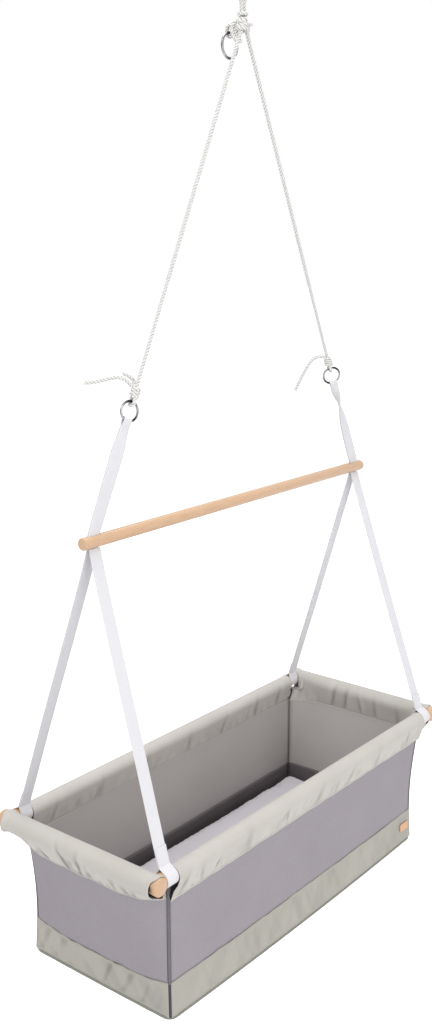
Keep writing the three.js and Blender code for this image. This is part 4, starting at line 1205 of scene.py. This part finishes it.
def band_folds(wall, along, down, seed):
    """The creases of a lower band, out of its face: the short ones bag the most."""
    broad = max(-0.15, wrinkle(along / 26 + down * 1.1, down * 0.9, seed + 9))
    sharp = max(0.0, wrinkle(along / 15 - down * 1.6, down * 0.5, seed + 14))
    return (1.0 if wall == "short" else 0.4) * (broad - 1.1 * sharp)


def wall_seed(wall, sign):
    return 3 + 2 * sign + (10 if wall == "long" else 0)


def band_point(wall, sign, across, down):
    """A point on the outside of a lower band, down from 0 at its top hem to 1 at its foot."""
    long = wall == "long"
    seed = wall_seed(wall, sign)
    held = 1 - across ** 8
    high, many = (1.5, 14) if long else (2.4, 6)
    top = BAND_TOP - seam_dip(wall, across) + high * wrinkle(across * many, 0.2, seed + 5) * held
    z = lerp(top, BAND_FOOT - foot_sag(wall, across), down)
    point = on_wall(wall, sign, across, z, -0.7, 2.4)
    along = across * (HALF_LONG if long else HALF_SHORT)
    slack = held * math.sin(math.pi * min(1.0, down * 0.86 + 0.14)) ** 0.7
    folds = 3.4 * band_folds(wall, along, down, seed) + 1.4 * wrinkle(along / 75, down, seed + 2)
    out = max(-0.5, slack * folds + 0.6) + 0.45 * bump_at(down, 0.03, 0.022)
    point[1 if long else 0] += sign * out
    return point


def sewn_in(sheet, slot, node):
    """A sheet that is stretched between its seams."""
    smooth(sheet)
    finished(sheet, None, "crib", slot, node)


def make_mesh_panel(place, wall, sign, width):
    long = wall == "long"
    seed, axis, margin = wall_seed(wall, sign), 1 if long else 0, 2.2
    top, foot = -41.5, -204.5

    def put(u, v):
        across = 2 * u - 1
        z = lerp(top, foot - seam_dip(wall, across), v)
        point = on_wall(wall, sign, across, z, 0.0, margin)
        slack = math.sin(math.pi * v) * (1 - across ** 4)
        point[axis] += sign * (1.6 * slack * wrinkle(across * 3.1, v * 1.4, seed) - 0.6 * slack)
        if z > SEAM:
            point[axis] = on_wall(wall, sign, across, SEAM, 0.0, margin)[axis]
        return point

    columns = 96 if long else 48
    panel = cloth(f"mesh_cloth_{place}", columns, 32, put, width, MESH_TALL, (0, 0, -120))
    panel.data.materials.append(MESH)
    panel.data.materials.append(INNER)
    inside = {"material_offset": 1, "material_offset_rim": 1}
    apply(panel, "SOLIDIFY", thickness=1.6 * MM, offset=-1, **inside)
    sewn_in(panel, "mesh_cloth", f"mesh_panel_{place}")


def make_lower_band(place, wall, sign, width):
    long = wall == "long"
    seed, half = wall_seed(wall, sign), HALF_LONG if long else HALF_SHORT

    def put(u, v):
        return band_point(wall, sign, 2 * u - 1, v)

    # painted shade: how dark the band's creases are painted, from the depth of its folds
    def painted_crease_shade(u, v):
        across = 2 * u - 1
        held = (1 - abs(across) ** 8) * ease(v, 0.03, 0.2) * (1 - ease(v, 0.86, 0.99))
        return 0.06 - 0.8 * held * band_folds(wall, across * half, v, seed)

    columns = 220 if long else 100
    band = cloth(f"band_cloth_{place}", columns, 24, put, width, BAND_TALL, (0, 0, -230), painted_crease_shade)
    band.data.materials.append(BAND)
    apply(band, "SOLIDIFY", thickness=1.0 * MM, offset=-1)
    sewn_in(band, "sleeve_cloth", f"lower_band_{place}")


def make_lining(place, wall, sign, width):
    long = wall == "long"
    seed, axis = wall_seed(wall, sign), 1 if long else 0
    top, foot = -188.0, -262.4

    def put(u, v):
        across = 2 * u - 1
        z = lerp(top, foot - foot_sag(wall, across), v)
        point = on_wall(wall, sign, across, z, 2.7, 3.8)
        loose = 0.9 * wrinkle(across * 6, v, seed + 20) * (1 - across ** 6)
        point[axis] -= sign * max(0.0, 0.5 + loose)
        return point

    columns = 80 if long else 40
    lining = cloth(f"lining_cloth_{place}", columns, 14, put, width, LINING_TALL, (0, 0, -230))
    # the lining's dark colour is painted shade low inside the walls
    lining.data.materials.append(PAINTED_SHADE_INNER)
    apply(lining, "SOLIDIFY", thickness=0.8 * MM, offset=-1)
    sewn_in(lining, "lining_cloth", f"lining_{place}")


# Sleeves

SLEEVE_Z = -1.0  # the sleeves hang a little below their sticks' axes
HEM_Z = -45.0
HALF_TIP = 1.2
ROUND_SLEEVE = 44  # faces round a sleeve


def teardrop(radius, tip):
    """Cloth drawn round a stick and down to a tip: points of (inward, height) from the outer hem
    over the top to the inner hem, and the run of cloth between its hems."""
    def tangent(turn):
        x, z = tip[0] + turn * HALF_TIP, tip[1] - SLEEVE_Z
        return math.atan2(z, x) + turn * math.acos(min(1.0, radius / math.hypot(x, z)))

    start, end = tangent(-1) + 2 * math.pi, tangent(1)
    outline = [(tip[0] - HALF_TIP, tip[1])]
    for angle in (lerp(start, end, i / 48) for i in range(49)):
        outline.append((radius * math.cos(angle), SLEEVE_Z + radius * math.sin(angle)))
    outline.append((tip[0] + HALF_TIP, tip[1]))
    return even_run(outline, lambda length: ROUND_SLEEVE + 1)


def place_on(outline, v):
    """The point of a teardrop at a share of the way round."""
    index = v * ROUND_SLEEVE
    low = min(ROUND_SLEEVE - 1, int(index))
    return outline[low] * (1 - (index - low)) + outline[low + 1] * (index - low)


def crease(u, v, folds):
    """Depth of the creases at u mm along a sleeve and v mm up from its outer hem."""
    depth = 0.0
    for u0, v0, long, wide, slant, deep in folds:
        du, dv = u - u0, v - v0
        a = du * math.cos(slant) + dv * math.sin(slant)
        b = -du * math.sin(slant) + dv * math.cos(slant)
        depth += deep * math.exp(-(a / long) ** 2 - (b / wide) ** 2)
    return depth


def pucker(u, from_hem, seed):
    """Lumps and small pleats of the cloth above a hem, in millimetres."""
    reach = 26.0
    there = ease(from_hem, 1.5, 8) * (1 - ease(from_hem, reach * 0.55, reach * 1.5))
    uneven = 0.35 + 0.65 * abs(wrinkle(u / 70, 0.3, seed + 40)) * 2
    lumps = 3.2 * wrinkle(u / 17 + from_hem / 40, from_hem / 26, seed)
    lumps += 1.5 * wrinkle(u / 8, from_hem / 20, seed + 3)
    pleats = -2.6 * max(0.0, wrinkle(u / 12 - from_hem / 30, from_hem / 60, seed + 6)) ** 0.8
    return there * uneven * (lumps + pleats)


# Creases seen in the photograph, as (along, up, half length, half width, slant in degrees, depth)

CREASES = {
    "near": [
        (-362, 22, 18, 5, 75, -2.4), (-345, 26, 20, 6, 80, 2.0), (-318, 20, 16, 5, 100, -2.4),
        (-279, 20, 10, 3, 80, -3.8), (-287, 24, 14, 6, 80, 2.4), (-196, 20, 26, 10, 95, -2.0),
        (-84, 24, 12, 3.2, 102, -2.8), (-94, 30, 12, 4, 60, -1.8), (16, 22, 22, 9, 85, -1.7),
        (120, 20, 18, 5, 80, -2.2), (215, 22, 20, 6, 95, -1.8), (330, 22, 18, 5, 105, -2.4),
    ],
    "far": [
        (-330, 22, 20, 5, 84, -2.2), (-210, 20, 22, 6, 95, -2.4), (-90, 22, 20, 5, 80, -2.2),
        (40, 22, 22, 6, 97, -2.4), (150, 20, 22, 5, 84, -2.6), (262, 22, 24, 6, 100, -2.8),
        (340, 22, 22, 5, 92, -3.0), (352, 22, 22, 5, 92, 2.2),
    ],
    "left": [
        (28, 17, 24, 4.2, 78, -5.6), (38, 19, 22, 5, 80, 3.4), (-6, 16, 24, 4.6, 96, -5.4),
        (-17, 18, 22, 5, 96, 3.2), (-46, 10, 12, 5, 70, -2.6), (-82, 12, 12, 6, 100, -2.8),
        (-104, 10, 10, 5, 80, -2.6), (-118, 9, 9, 5, 95, -2.8), (-143, 9, 9, 5, 85, -2.2),
        (80, 16, 16, 5, 60, -2.0), (120, 14, 18, 5, 100, -2.4),
    ],
    "right": [
        (142, 24, 18, 4, 100, -2.8), (71, 26, 26, 4.2, 106, 3.2), (61, 24, 26, 4, 106, -4.2),
        (30, 24, 26, 4.5, 104, -4.2), (20, 24, 22, 4, 104, 3.0), (-6, 22, 20, 4, 82, -3.4),
        (-15, 22, 20, 4, 82, 2.6), (-44, 22, 22, 4.5, 94, -3.2), (-54, 22, 22, 4.5, 94, 2.0),
        (-100, 20, 20, 5, 88, -2.6), (-140, 20, 18, 5, 98, -2.4),
    ],
}


def sleeve_folds(place, seed, span):
    """The creases of a sleeve: those in the photograph and some smaller ones."""
    dice = random.Random(seed)
    folds = [
        (u, v, long, wide, math.radians(slant), deep)
        for u, v, long, wide, slant, deep in CREASES[place]
    ]
    for _ in range(int(span / 38)):
        u = dice.uniform(-span / 2, span / 2)
        v = dice.uniform(2, 34)
        slant = math.radians(dice.uniform(60, 120))
        size = dice.uniform(7, 16), dice.uniform(2.5, 6)
        folds.append((u, v, *size, slant, -dice.uniform(0.3, 1.1)))
        u += dice.uniform(5, 9)
        size = dice.uniform(7, 16), dice.uniform(3, 6)
        folds.append((u, v, *size, slant, dice.uniform(0.3, 0.9)))
    return folds


class SleeveCloth:
    """How the cloth of one sleeve creases and swells, and the painted shade of its creases."""

    def __init__(self, folds, seed, fullness, lively, shading):
        self.folds, self.seed = folds, seed
        self.fullness, self.lively, self.shading = fullness, lively, shading

    def creases(self, along, height, girth):
        """The creases and puckers, out of its face."""
        from_hem = min(height, girth - height)
        outer = height < girth / 2
        up = height if outer else girth - height + 3
        creases = crease(along, up, self.folds) * ease(from_hem, 0, 5)
        creases *= ease(girth / 2 - from_hem, 3, 14)
        return creases + self.lively * pucker(along, from_hem, self.seed + (11 if outer else 23))

    def swell(self, along, height, girth):
        """How far the cloth stands off its plain drawn form."""
        from_hem = min(height, girth - height)
        loose = ease(from_hem, 0, 9) * ease(girth / 2 - from_hem, 6, 26)
        uneven = 0.5 + 0.5 * wrinkle(along / 52, height / 40, 7 + self.seed)
        swell = self.fullness * loose * uneven
        swell += self.creases(along, height, girth) + 0.6 * bump_at(from_hem, 2.4, 1.7)
        return max(swell, lerp(-3.6, -1.1, ease(from_hem, 24, 36)))

    def shade(self, along, height, girth):
        """How dark its creases are painted: painted shade in the creases."""
        return 0.06 - self.shading * self.creases(along, height, girth)


def stitch_hems(place, put, span, girth, reach, middle):
    """The two sewn rows that close a sleeve, a little above its hems."""
    up, pitch = 4.6, 4.2
    spots = []
    count = int(2 * reach / pitch)
    for v in (up / girth, 1 - up / girth):
        for i in range(count + 1):
            u = 0.5 + lerp(-reach, reach, i / count) / span
            at, along = put(u, v), put(u + 0.002, v) - put(u - 0.002, v)
            normal = along.cross(put(u, v + 0.004) - put(u, v - 0.004)).normalized()
            if normal.dot(at - middle) < 0:
                normal.negate()
            spots.append((rim(*(at + normal * 0.12)), along, normal))
    stitch_marks(f"hem_stitches_{place}", spots, 2.8, 0.55, THREAD, "crib", "sleeve_cloth")


def sleeve_piece(place, columns, put, shade, span, girth, middle, stitched):
    """The sewn sleeve, with the darker inner cloth inside as painted shade."""
    sleeve = cloth(f"sleeve_cloth_{place}", columns, ROUND_SLEEVE, put, span, girth, middle, shade)
    sleeve.data.materials.append(SLEEVE)
    sleeve.data.materials.append(PAINTED_SHADE_INNER)
    apply(sleeve, "SOLIDIFY", thickness=0.9 * MM, offset=-1, material_offset=1)
    smooth(sleeve, 60)
    finished(sleeve, None, "crib", "sleeve_cloth", f"sleeve_{place}")
    stitch_hems(place, put, span, girth, stitched, Vector(middle))


def make_long_sleeve(place):
    sign = FACES[place]
    half = 382.6
    span = 2 * half
    fabric = SleeveCloth(sleeve_folds(place, 41 + sign, span), 5 + sign, 1.3, 0.5, 0.22)
    outline, girth = teardrop(14.3, (0.0, HEM_Z))

    def put(u, v):
        x = lerp(-half, half, u)
        inward, z = place_on(outline, v)
        height = v * girth
        from_hem = min(height, girth - height)
        swell = fabric.swell(x, height, girth)
        to_end = half - abs(x)
        lip = 0.9 * bump_at(to_end, 0, 3)
        away = Vector((inward, z - SLEEVE_Z)).normalized()
        wave = 1.3 * wrinkle(x / 24, 2.0, sign + 3) * (1 - ease(from_hem, 0, 12))
        wave *= ease(to_end, 6, 16)
        inward += away.x * (swell + lip)
        skirt = 6.2 * ease(-z, 14.5, 25) * (1 - ease(to_end, 0, 26))
        z += away.y * max(-0.2, swell * 0.6 + lip) + wave
        return Vector((x + math.copysign(skirt, x), sign * (LONG_Y - inward), z))

    def shade(u, v):
        return fabric.shade(lerp(-half, half, u), v * girth, girth)

    middle = (0, sign * LONG_Y, -6)
    sleeve_piece(place, 380, put, shade, span, girth, middle, 372)


LOOP_SIDE = 148.6  # where the straps' loops begin, beside the short sticks' sleeves
SLEEVE_ENDS = {"left": (-174.5, 170.0), "right": (-167.5, 172.5)}
MOUTHS = {("right", "far"): (16.0, -39.0)}  # a corner where the hem ends lower than at the others


def make_short_sleeve(place):
    sign = SIDES[place]
    low_y, high_y = SLEEVE_ENDS[place]
    span, seam_end = high_y - low_y, 156.7
    lively, shading = (1.35, 0.3) if place == "left" else (0.5, 0.15)
    fabric = SleeveCloth(sleeve_folds(place, 77 + sign, span), 9 + sign, 1.6, lively, shading)

    def tip_at(y):
        """Where the hem lies: on the mesh, and beyond the corners drawn up to the stick."""
        low = (SHORT_X - reach_at("short", min(1.0, abs(y) / seam_end), 0.0), HEM_Z)
        if abs(y) <= seam_end:
            return low
        end = abs(low_y) if y < 0 else high_y
        share = (abs(y) - seam_end) / (end - seam_end)
        mouth = MOUTHS.get((place, "near" if y < 0 else "far"), (6.0, -22.0))
        return tuple(lerp(a, b, share) for a, b in zip(low, mouth))

    sections = {}

    def section(y):
        key = round(y, 2)
        if key not in sections:
            sections[key] = teardrop(16.9, tip_at(key))
        return sections[key]

    def put(u, v):
        y = lerp(low_y, high_y, min(1.0, max(0.0, u)))
        outline, girth = section(y)
        inward, z = place_on(outline, v)
        height = v * girth
        from_hem = min(height, girth - height)
        swell = fabric.swell(y, height, girth)
        to_end = min(y - low_y, high_y - y)
        outside = ease(-inward, 5, 14)
        notch = ease(inward, 14.0, 15.4) * ease(z, -18.8, -16.8) * (1 - ease(z, 6.5, 9.0))
        end = high_y if y > 0 else -low_y
        cut = 5.5 * outside * (1 - ease(to_end, 0, 26))
        cut += (end - LOOP_SIDE) * notch * (1 - ease(to_end, 0, 46))
        lip = (0.8 + 2.6 * outside) * bump_at(to_end, 0, 8)
        away = Vector((inward, z - SLEEVE_Z)).normalized()
        wave = 1.5 * wrinkle(y / 21, 4.0, sign + 3) * (1 - ease(from_hem, 0, 12))
        wave *= 1 - ease(abs(y), 142, 154)
        inward += away.x * (swell + lip)
        z += away.y * max(-0.2, swell * 0.6 + lip) + wave
        return Vector((sign * (SHORT_X - inward), y - math.copysign(cut, y), z))

    girth = section(0.0)[1]

    def shade(u, v):
        return fabric.shade(lerp(low_y, high_y, u), v * girth, girth)

    middle = (sign * SHORT_X, 0, -6)
    sleeve_piece(place, 200, put, shade, span, girth, middle, 150)


for place in FACES:
    make_long_sleeve(place)
for place in SIDES:
    make_short_sleeve(place)
for place, (wall, sign) in WALLS.items():
    width = MESH_WIDE if wall == "long" else MESH_NARROW
    make_mesh_panel(place, wall, sign, width)
    make_lower_band(place, wall, sign, width - BAND_LESS)
    make_lining(place, wall, sign, width - BAND_LESS)

# Corner bindings, piping and floor


BINDING_PROFILE = [
    (-3.7, 0.6), (-3.2, 1.05), (-2.6, 0.75), (-1.4, 0.5), (-0.45, 0.1),
    (0.1, -0.45), (0.5, -1.4), (0.75, -2.6), (1.05, -3.2), (0.6, -3.7),
]
ROLLED_EDGES = (0, 1, 7, 8)  # columns of the profile that show the dark edge
TAPE_HIDDEN = -201  # below this only the dark edge shows


def make_binding(side, face):
    """A folded tape down a corner of the walls, with a rolled edge on each side."""
    sx, sy = SIDES[side], FACES[face]
    heights = [-15.6, -19, -23, -30, -37.2, -41] + [lerp(SEAM, -262.5, i / 44) for i in range(45)]
    columns = len(BINDING_PROFILE)
    tape = grid(f"binding_tape_{face}_{side}", columns - 1, len(heights) - 1)
    for i, z in enumerate(heights):
        cx, cy = corner_at(max(0.0, depth_share(z)))
        narrow = lerp(1.0, 0.42, ease(-z, 198, 204)) * lerp(2.3, 1.0, ease(-z, 26, 40))
        for k, corner in enumerate(BINDING_PROFILE):
            a, b = (c * narrow if c < 0 else c for c in corner)
            tape.data.vertices[i * columns + k].co = rim(sx * (cx + a), sy * (cy + b), z)
    map_points(tape, lambda n: (n % columns * 1.1 * MM, -heights[n // columns] * MM))
    edit(tape, FACE_OUT)
    outward = Vector((sx, sy, 0))
    if sum(p.normal.dot(outward) for p in tape.data.polygons) < 0:
        edit(tape, TURN_OVER)
    tape.data.materials.append(BINDING)
    tape.data.materials.append(BINDING_EDGE)
    for poly in tape.data.polygons:
        numbers = [tape.data.loops[loop].vertex_index for loop in poly.loop_indices]
        column, row = min(n % columns for n in numbers), min(n // columns for n in numbers)
        poly.material_index = int(column in ROLLED_EDGES or heights[row] < TAPE_HIDDEN)
    apply(tape, "SOLIDIFY", thickness=0.9 * MM, offset=-1)
    apply(tape, "SUBSURF", levels=1, render_levels=1)
    smooth(tape)
    finished(tape, None, "crib", "binding", f"corner_binding_{face}_{side}")
    spots = []
    down = Vector((0, 0, 1))
    for z in (lerp(-46, -198, i / 37) for i in range(38)):
        cx, cy = corner_at(max(0.0, depth_share(z)))
        spots.append((rim(sx * (cx - 2.0), sy * (cy + 0.65), z), down, Vector((0, sy, 0))))
        spots.append((rim(sx * (cx + 0.65), sy * (cy - 2.0), z), down, Vector((sx, 0, 0))))
    stitch_marks(f"binding_stitches_{face}_{side}", spots, 2.6, 0.5, THREAD, "crib", "binding")


def rounded_plan(half_x, half_y, corner, steps):
    points = []
    for quarter, (sx, sy) in enumerate(((1, 1), (-1, 1), (-1, -1), (1, -1))):
        for angle in (math.pi / 2 * (quarter + i / steps) for i in range(steps + 1)):
            x = sx * (half_x - corner) + corner * math.cos(angle)
            points.append((x, sy * (half_y - corner) + corner * math.sin(angle)))
    return points


PIPING_Z = -265.4


def foot_place(x, y):
    """Where a point of the flat plan of the foot comes to lie."""
    half_x, half_y = CORNER_FOOT
    long_share, short_share = (max(-1.0, min(1.0, c)) for c in (x / half_x, y / half_y))
    out_y = foot_belly("long", long_share) * (abs(y) / half_y) ** 3
    out_x = foot_belly("short", short_share) * (abs(x) / half_x) ** 3
    z = PIPING_Z - foot_sag("long", long_share)
    return Vector((x + math.copysign(out_x, x), y + math.copysign(out_y, y), z))


def make_piping():
    """The piping round the foot of the walls: a cord in a strip of cloth cut on the cross."""
    radius, spacing = 2.6, 10
    plan = rounded_plan(*CORNER_FOOT, 14, 6)
    line = []
    for (x0, y0), (x1, y1) in zip(plan, plan[1:] + plan[:1]):
        steps = max(1, int(math.hypot(x1 - x0, y1 - y0) / spacing))
        line += [foot_place(lerp(x0, x1, i / steps), lerp(y0, y1, i / steps)) for i in range(steps)]
    count, around = len(line), 14
    bpy.ops.mesh.primitive_torus_add(
        major_segments=count, minor_segments=around, major_radius=0.3, minor_radius=radius * MM,
    )
    welt = take("base_piping")
    rows, run = [], 0.0
    for i, at in enumerate(line):
        heading = line[(i + 1) % count] - line[i - 1]
        heading.z = 0
        heading.normalize()
        out, up = Vector((heading.y, -heading.x, 0)), Vector((0, 0, 1))
        run += (at - line[i - 1]).length
        rows.append(run)
        swell = radius + 0.12 * math.sin(run * 1.7)
        for k in range(around):
            angle = 2 * math.pi * k / around
            skin = at + out * swell * math.cos(angle) + up * (swell * math.sin(angle))
            welt.data.vertices[i * around + k].co = rim(*skin)
    map_points(welt, lambda n: (rows[n // around] * MM, n % around * 1.2 * MM))
    edit(welt, FACE_OUT)
    apply(welt, "SUBSURF", levels=1, render_levels=1)
    smooth(welt)
    finished(welt, WELT, "crib", "welt", "base_welt")


def make_floor():
    """The cloth under the board, drawn flat between its seams with a little slack in the middle."""
    half_x, half_y, corner = 380.1, 155.1, 10.7
    width, length = 760, 310

    def put(u, v):
        x, y = (2 * u - 1) * half_x, (2 * v - 1) * half_y
        over = max(0.0, abs(x) - half_x + corner), max(0.0, abs(y) - half_y + corner)
        far = math.hypot(*over)
        if far > corner:
            x -= math.copysign(over[0] * (1 - corner / far), x)
            y -= math.copysign(over[1] * (1 - corner / far), y)
        edge = min(half_x - abs(x), half_y - abs(y))
        z = -267.3 + 0.5 * wrinkle(x / 70, y / 50, 31) * ease(edge, 2, 30)
        place = foot_place(x, y)
        place.z += min(-266.2, z) - PIPING_Z
        return place

    floor = cloth("floor_cloth", 120, 56, put, width, length, (0, 0, 0))
    floor.data.materials.append(SLEEVE)
    apply(floor, "SOLIDIFY", thickness=0.7 * MM, offset=-1)
    sewn_in(floor, "sleeve_cloth", "floor_panel")


for side in SIDES:
    for face in FACES:
        make_binding(side, face)
make_piping()
make_floor()


def make_seam_stitches(place, wall, sign):
    """The two sewn rows of a lower band."""
    long = wall == "long"
    normal = Vector((0, sign, 0)) if long else Vector((sign, 0, 0))
    reach, pitch = 0.985, 4.2
    count = int((750 if long else 300) / pitch)
    spots = []
    for down in (0.06, 0.925):
        for across in (lerp(-reach, reach, i / count) for i in range(count + 1)):
            at = band_point(wall, sign, across, down)
            ahead = band_point(wall, sign, across + 0.002, down)
            spots.append((rim(*(at + normal * 0.12)), ahead - at, normal))
    stitch_marks(f"band_stitches_{place}", spots, 2.8, 0.5, BAND_THREAD, "crib", "sleeve_cloth")


for place, (wall, sign) in WALLS.items():
    make_seam_stitches(place, wall, sign)

# Mattress


def blow_up(pad, voxel, pressure, steps, most):
    """Fills the pad by a cloth simulation. No point moves further than most, in millimetres."""
    apply(pad, "REMESH", mode="VOXEL", voxel_size=voxel * MM)
    rest = [vertex.co.copy() for vertex in pad.data.vertices]
    only(pad)
    modifier = pad.modifiers.new("cloth", "CLOTH")
    modifier.settings.quality = 5
    modifier.settings.use_pressure = True
    modifier.settings.uniform_pressure_force = pressure
    modifier.settings.effector_weights.gravity = 0
    modifier.point_cache.frame_start = 1
    modifier.point_cache.frame_end = steps
    scene = bpy.context.scene
    for step in range(1, steps + 1):
        scene.frame_set(step)
    bpy.ops.object.modifier_apply(modifier=modifier.name)
    scene.frame_set(1)
    for vertex, before in zip(pad.data.vertices, rest):
        move = vertex.co - before
        if move.length > most * MM:
            vertex.co = before + move.normalized() * most * MM


def make_mattress():
    """A padded pad with a crown, fine quilted ribs and a rumpled cover."""
    bpy.ops.mesh.primitive_cube_add(size=1, location=rim(0, 0, -233.8))
    pad = take("mattress_pad")
    pad.scale = (734 * MM, 286 * MM, 55 * MM)
    settle(pad)
    apply(pad, "BEVEL", width=9 * MM, segments=4, limit_method="NONE")
    blow_up(pad, voxel=5.5, pressure=4, steps=20, most=5)
    apply(pad, "SUBSURF", levels=1, render_levels=1)
    bottom, top = (RIM - 262.3) * MM, (RIM - 202.6) * MM
    half_x, half_y = 0.3715, 0.1465
    rib, drawn = 2.6 * MM, 3.2 * MM
    for vertex in pad.data.vertices:
        co = vertex.co
        x, y = co.x / 0.371, co.y / 0.146
        height = (co.z - bottom) / (top - bottom)
        if height > 0.6:
            crown = 3.0 * (1 - x * x) * (1 - y * y)
            waver = 2.4 * wrinkle(co.x * 14, co.y * 14, 3)
            ribs = 0.6 * math.sin(co.x / rib + co.y / (14 * MM) + waver)
            rumple = 2.2 * wrinkle(co.x * 22, co.y * 10, 12)
            rumple += 1.4 * wrinkle(co.x * 60, co.y * 14, 8)
            inside = ease(1 - abs(y), 0.0, 0.12) * ease(1 - abs(x), 0.0, 0.06)
            co.z += ease(height, 0.6, 0.88) * (crown + (ribs + rumple) * inside) * MM
        if abs(x) > 0.9:
            co.x -= math.copysign(drawn * (1 - y * y) * x * x, x)
        if abs(y) > 0.75:
            co.y -= math.copysign(drawn * (1 - x * x) * y * y, y)
        co.z = min(max(co.z, bottom), top + 0.6 * MM)
        co.x = max(-half_x, min(half_x, co.x))
        co.y = max(-half_y, min(half_y, co.y))
    pad.data.update()
    smooth(pad)
    finished(pad, COTTON, "mattress", "mattress_cover", "mattress")


make_mattress()

# Leather tab

TAB_WIDTH, TAB_HEIGHT = 30, 17
TAB_X, TAB_Z = 356, -231.75


def make_label():
    """A bare leather tab with burnished edges and a groove under its stitches."""
    bpy.ops.mesh.primitive_plane_add(size=1)
    tab = take("leather_tab")
    tab.scale = (TAB_WIDTH * MM, TAB_HEIGHT * MM, 1)
    settle(tab)
    rounding = (bpy.ops.mesh.bevel, {"offset": 3 * MM, "segments": 5, "affect": "VERTICES"})
    insets = [(bpy.ops.mesh.inset, {"thickness": wide * MM}) for wide in (0.7, 1.1, 0.5)]
    edit(tab, rounding, *insets)
    shade = tab.data.attributes.new("edge", "FLOAT", "POINT")
    for vertex in tab.data.vertices:
        x, y = abs(vertex.co.x) / MM, abs(vertex.co.y) / MM
        inner = min(TAB_WIDTH / 2 - x, TAB_HEIGHT / 2 - y)
        shade.data[vertex.index].value = 0.85 * (1 - ease(inner, 0.1, 0.9))
        vertex.co.z = -0.25 * MM * bump_at(inner, 2.0, 0.45)
    apply(tab, "SOLIDIFY", thickness=1.1 * MM, offset=-1)
    soften(tab, 0.3, 2, 55)
    across = TAB_X / CORNER_FOOT[0]
    above = on_wall("long", -1, across, TAB_Z + TAB_HEIGHT / 2, -1.3, 0)
    below = on_wall("long", -1, across, TAB_Z - TAB_HEIGHT / 2, -1.3, 0)
    up = Vector((0, above.y - below.y, above.z - below.z)).normalized()
    right = Vector((1, 0, 0))
    out = right.cross(up)
    middle = above.lerp(below, 0.5)
    facing = Matrix((right, up, out)).transposed().to_4x4()
    tab.matrix_world = Matrix.Translation(rim(*(middle + out * 1.3))) @ facing
    settle(tab)
    smooth(tab, 40)
    finished(tab, LEATHER, "crib", "leather", "leather_label")
    rows = [(i * 2.9 - 11.6, side * 6.4, right) for side in (-1, 1) for i in range(9)]
    rows += [(side * 12.9, i * 2.9 - 4.35, up) for side in (-1, 1) for i in range(4)]
    face = rim(*(middle + out * 1.4))
    spots = [(face + right * x * MM + up * y * MM, along, out) for x, y, along in rows]
    stitch_marks("tab_stitches", spots, 1.9, 0.45, PALE_THREAD, "crib", "leather")


make_label()

# The board stays as it is, with its finish

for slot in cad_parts["base_board"].material_slots:
    slot.material = BOARD

# Room: a pale floor under a white surround, and soft studio light

WHITE = grey(1)
WORLD_LIGHT = 0.78


def make_floor_of_room():
    """A pale floor that brightens to white where it is looked at."""
    bpy.ops.mesh.primitive_plane_add(size=60, location=(0, 0, -2.42))
    floor = take("studio_floor")
    f = Finish("studio_floor_white", Base_Color=grey(0.93), Roughness=0.9)
    glow = f.add("Emission", Color=WHITE, Strength=f.sum("MULTIPLY", f.seen_directly(), 0.5))
    both = f.add("AddShader", i0=f.shader.outputs[0], i1=glow.outputs[0])
    f.join(both.outputs[0], f.nodes["Material Output"].inputs["Surface"])
    floor.data.materials.append(f.material)


def make_surround():
    """A surround that is white where it is looked at and lights the room more softly."""
    world = bpy.data.worlds.new("studio")
    bpy.context.scene.world = world
    world.use_nodes = True
    sky = Nodes(world.node_tree)
    light = sky.nodes["Background"]
    light.inputs["Color"].default_value = WHITE
    light.inputs["Strength"].default_value = WORLD_LIGHT
    plain = sky.add("Background", Color=WHITE, Strength=1.0)
    mix = sky.add("MixShader", i0=sky.seen_directly(), i1=light.outputs[0], i2=plain.outputs[0])
    sky.join(mix.outputs[0], sky.nodes["World Output"].inputs["Surface"])


def lamp(name, place, target, size, watts):
    data = bpy.data.lights.new(name, "AREA")
    data.shape = "RECTANGLE"
    data.size, data.size_y = size
    data.energy = watts
    light = bpy.data.objects.new(name, data)
    bpy.context.scene.collection.objects.link(light)
    light.location = place
    light.rotation_euler = (Vector(place) - Vector(target)).to_track_quat("Z", "Y").to_euler()


make_floor_of_room()
make_surround()
lamp("key", (-2.3, -0.5, 1.3), (0, 0, -1.3), (1.6, 1.6), 24)
lamp("fill", (-0.9, -3.2, -0.5), (0, 0, -1.3), (2.0, 2.0), 28)
lamp("top", (0.2, 0.3, 1.6), (0, 0, -1.4), (2.0, 1.4), 24)
bpy.context.scene.view_settings.view_transform = "Standard"
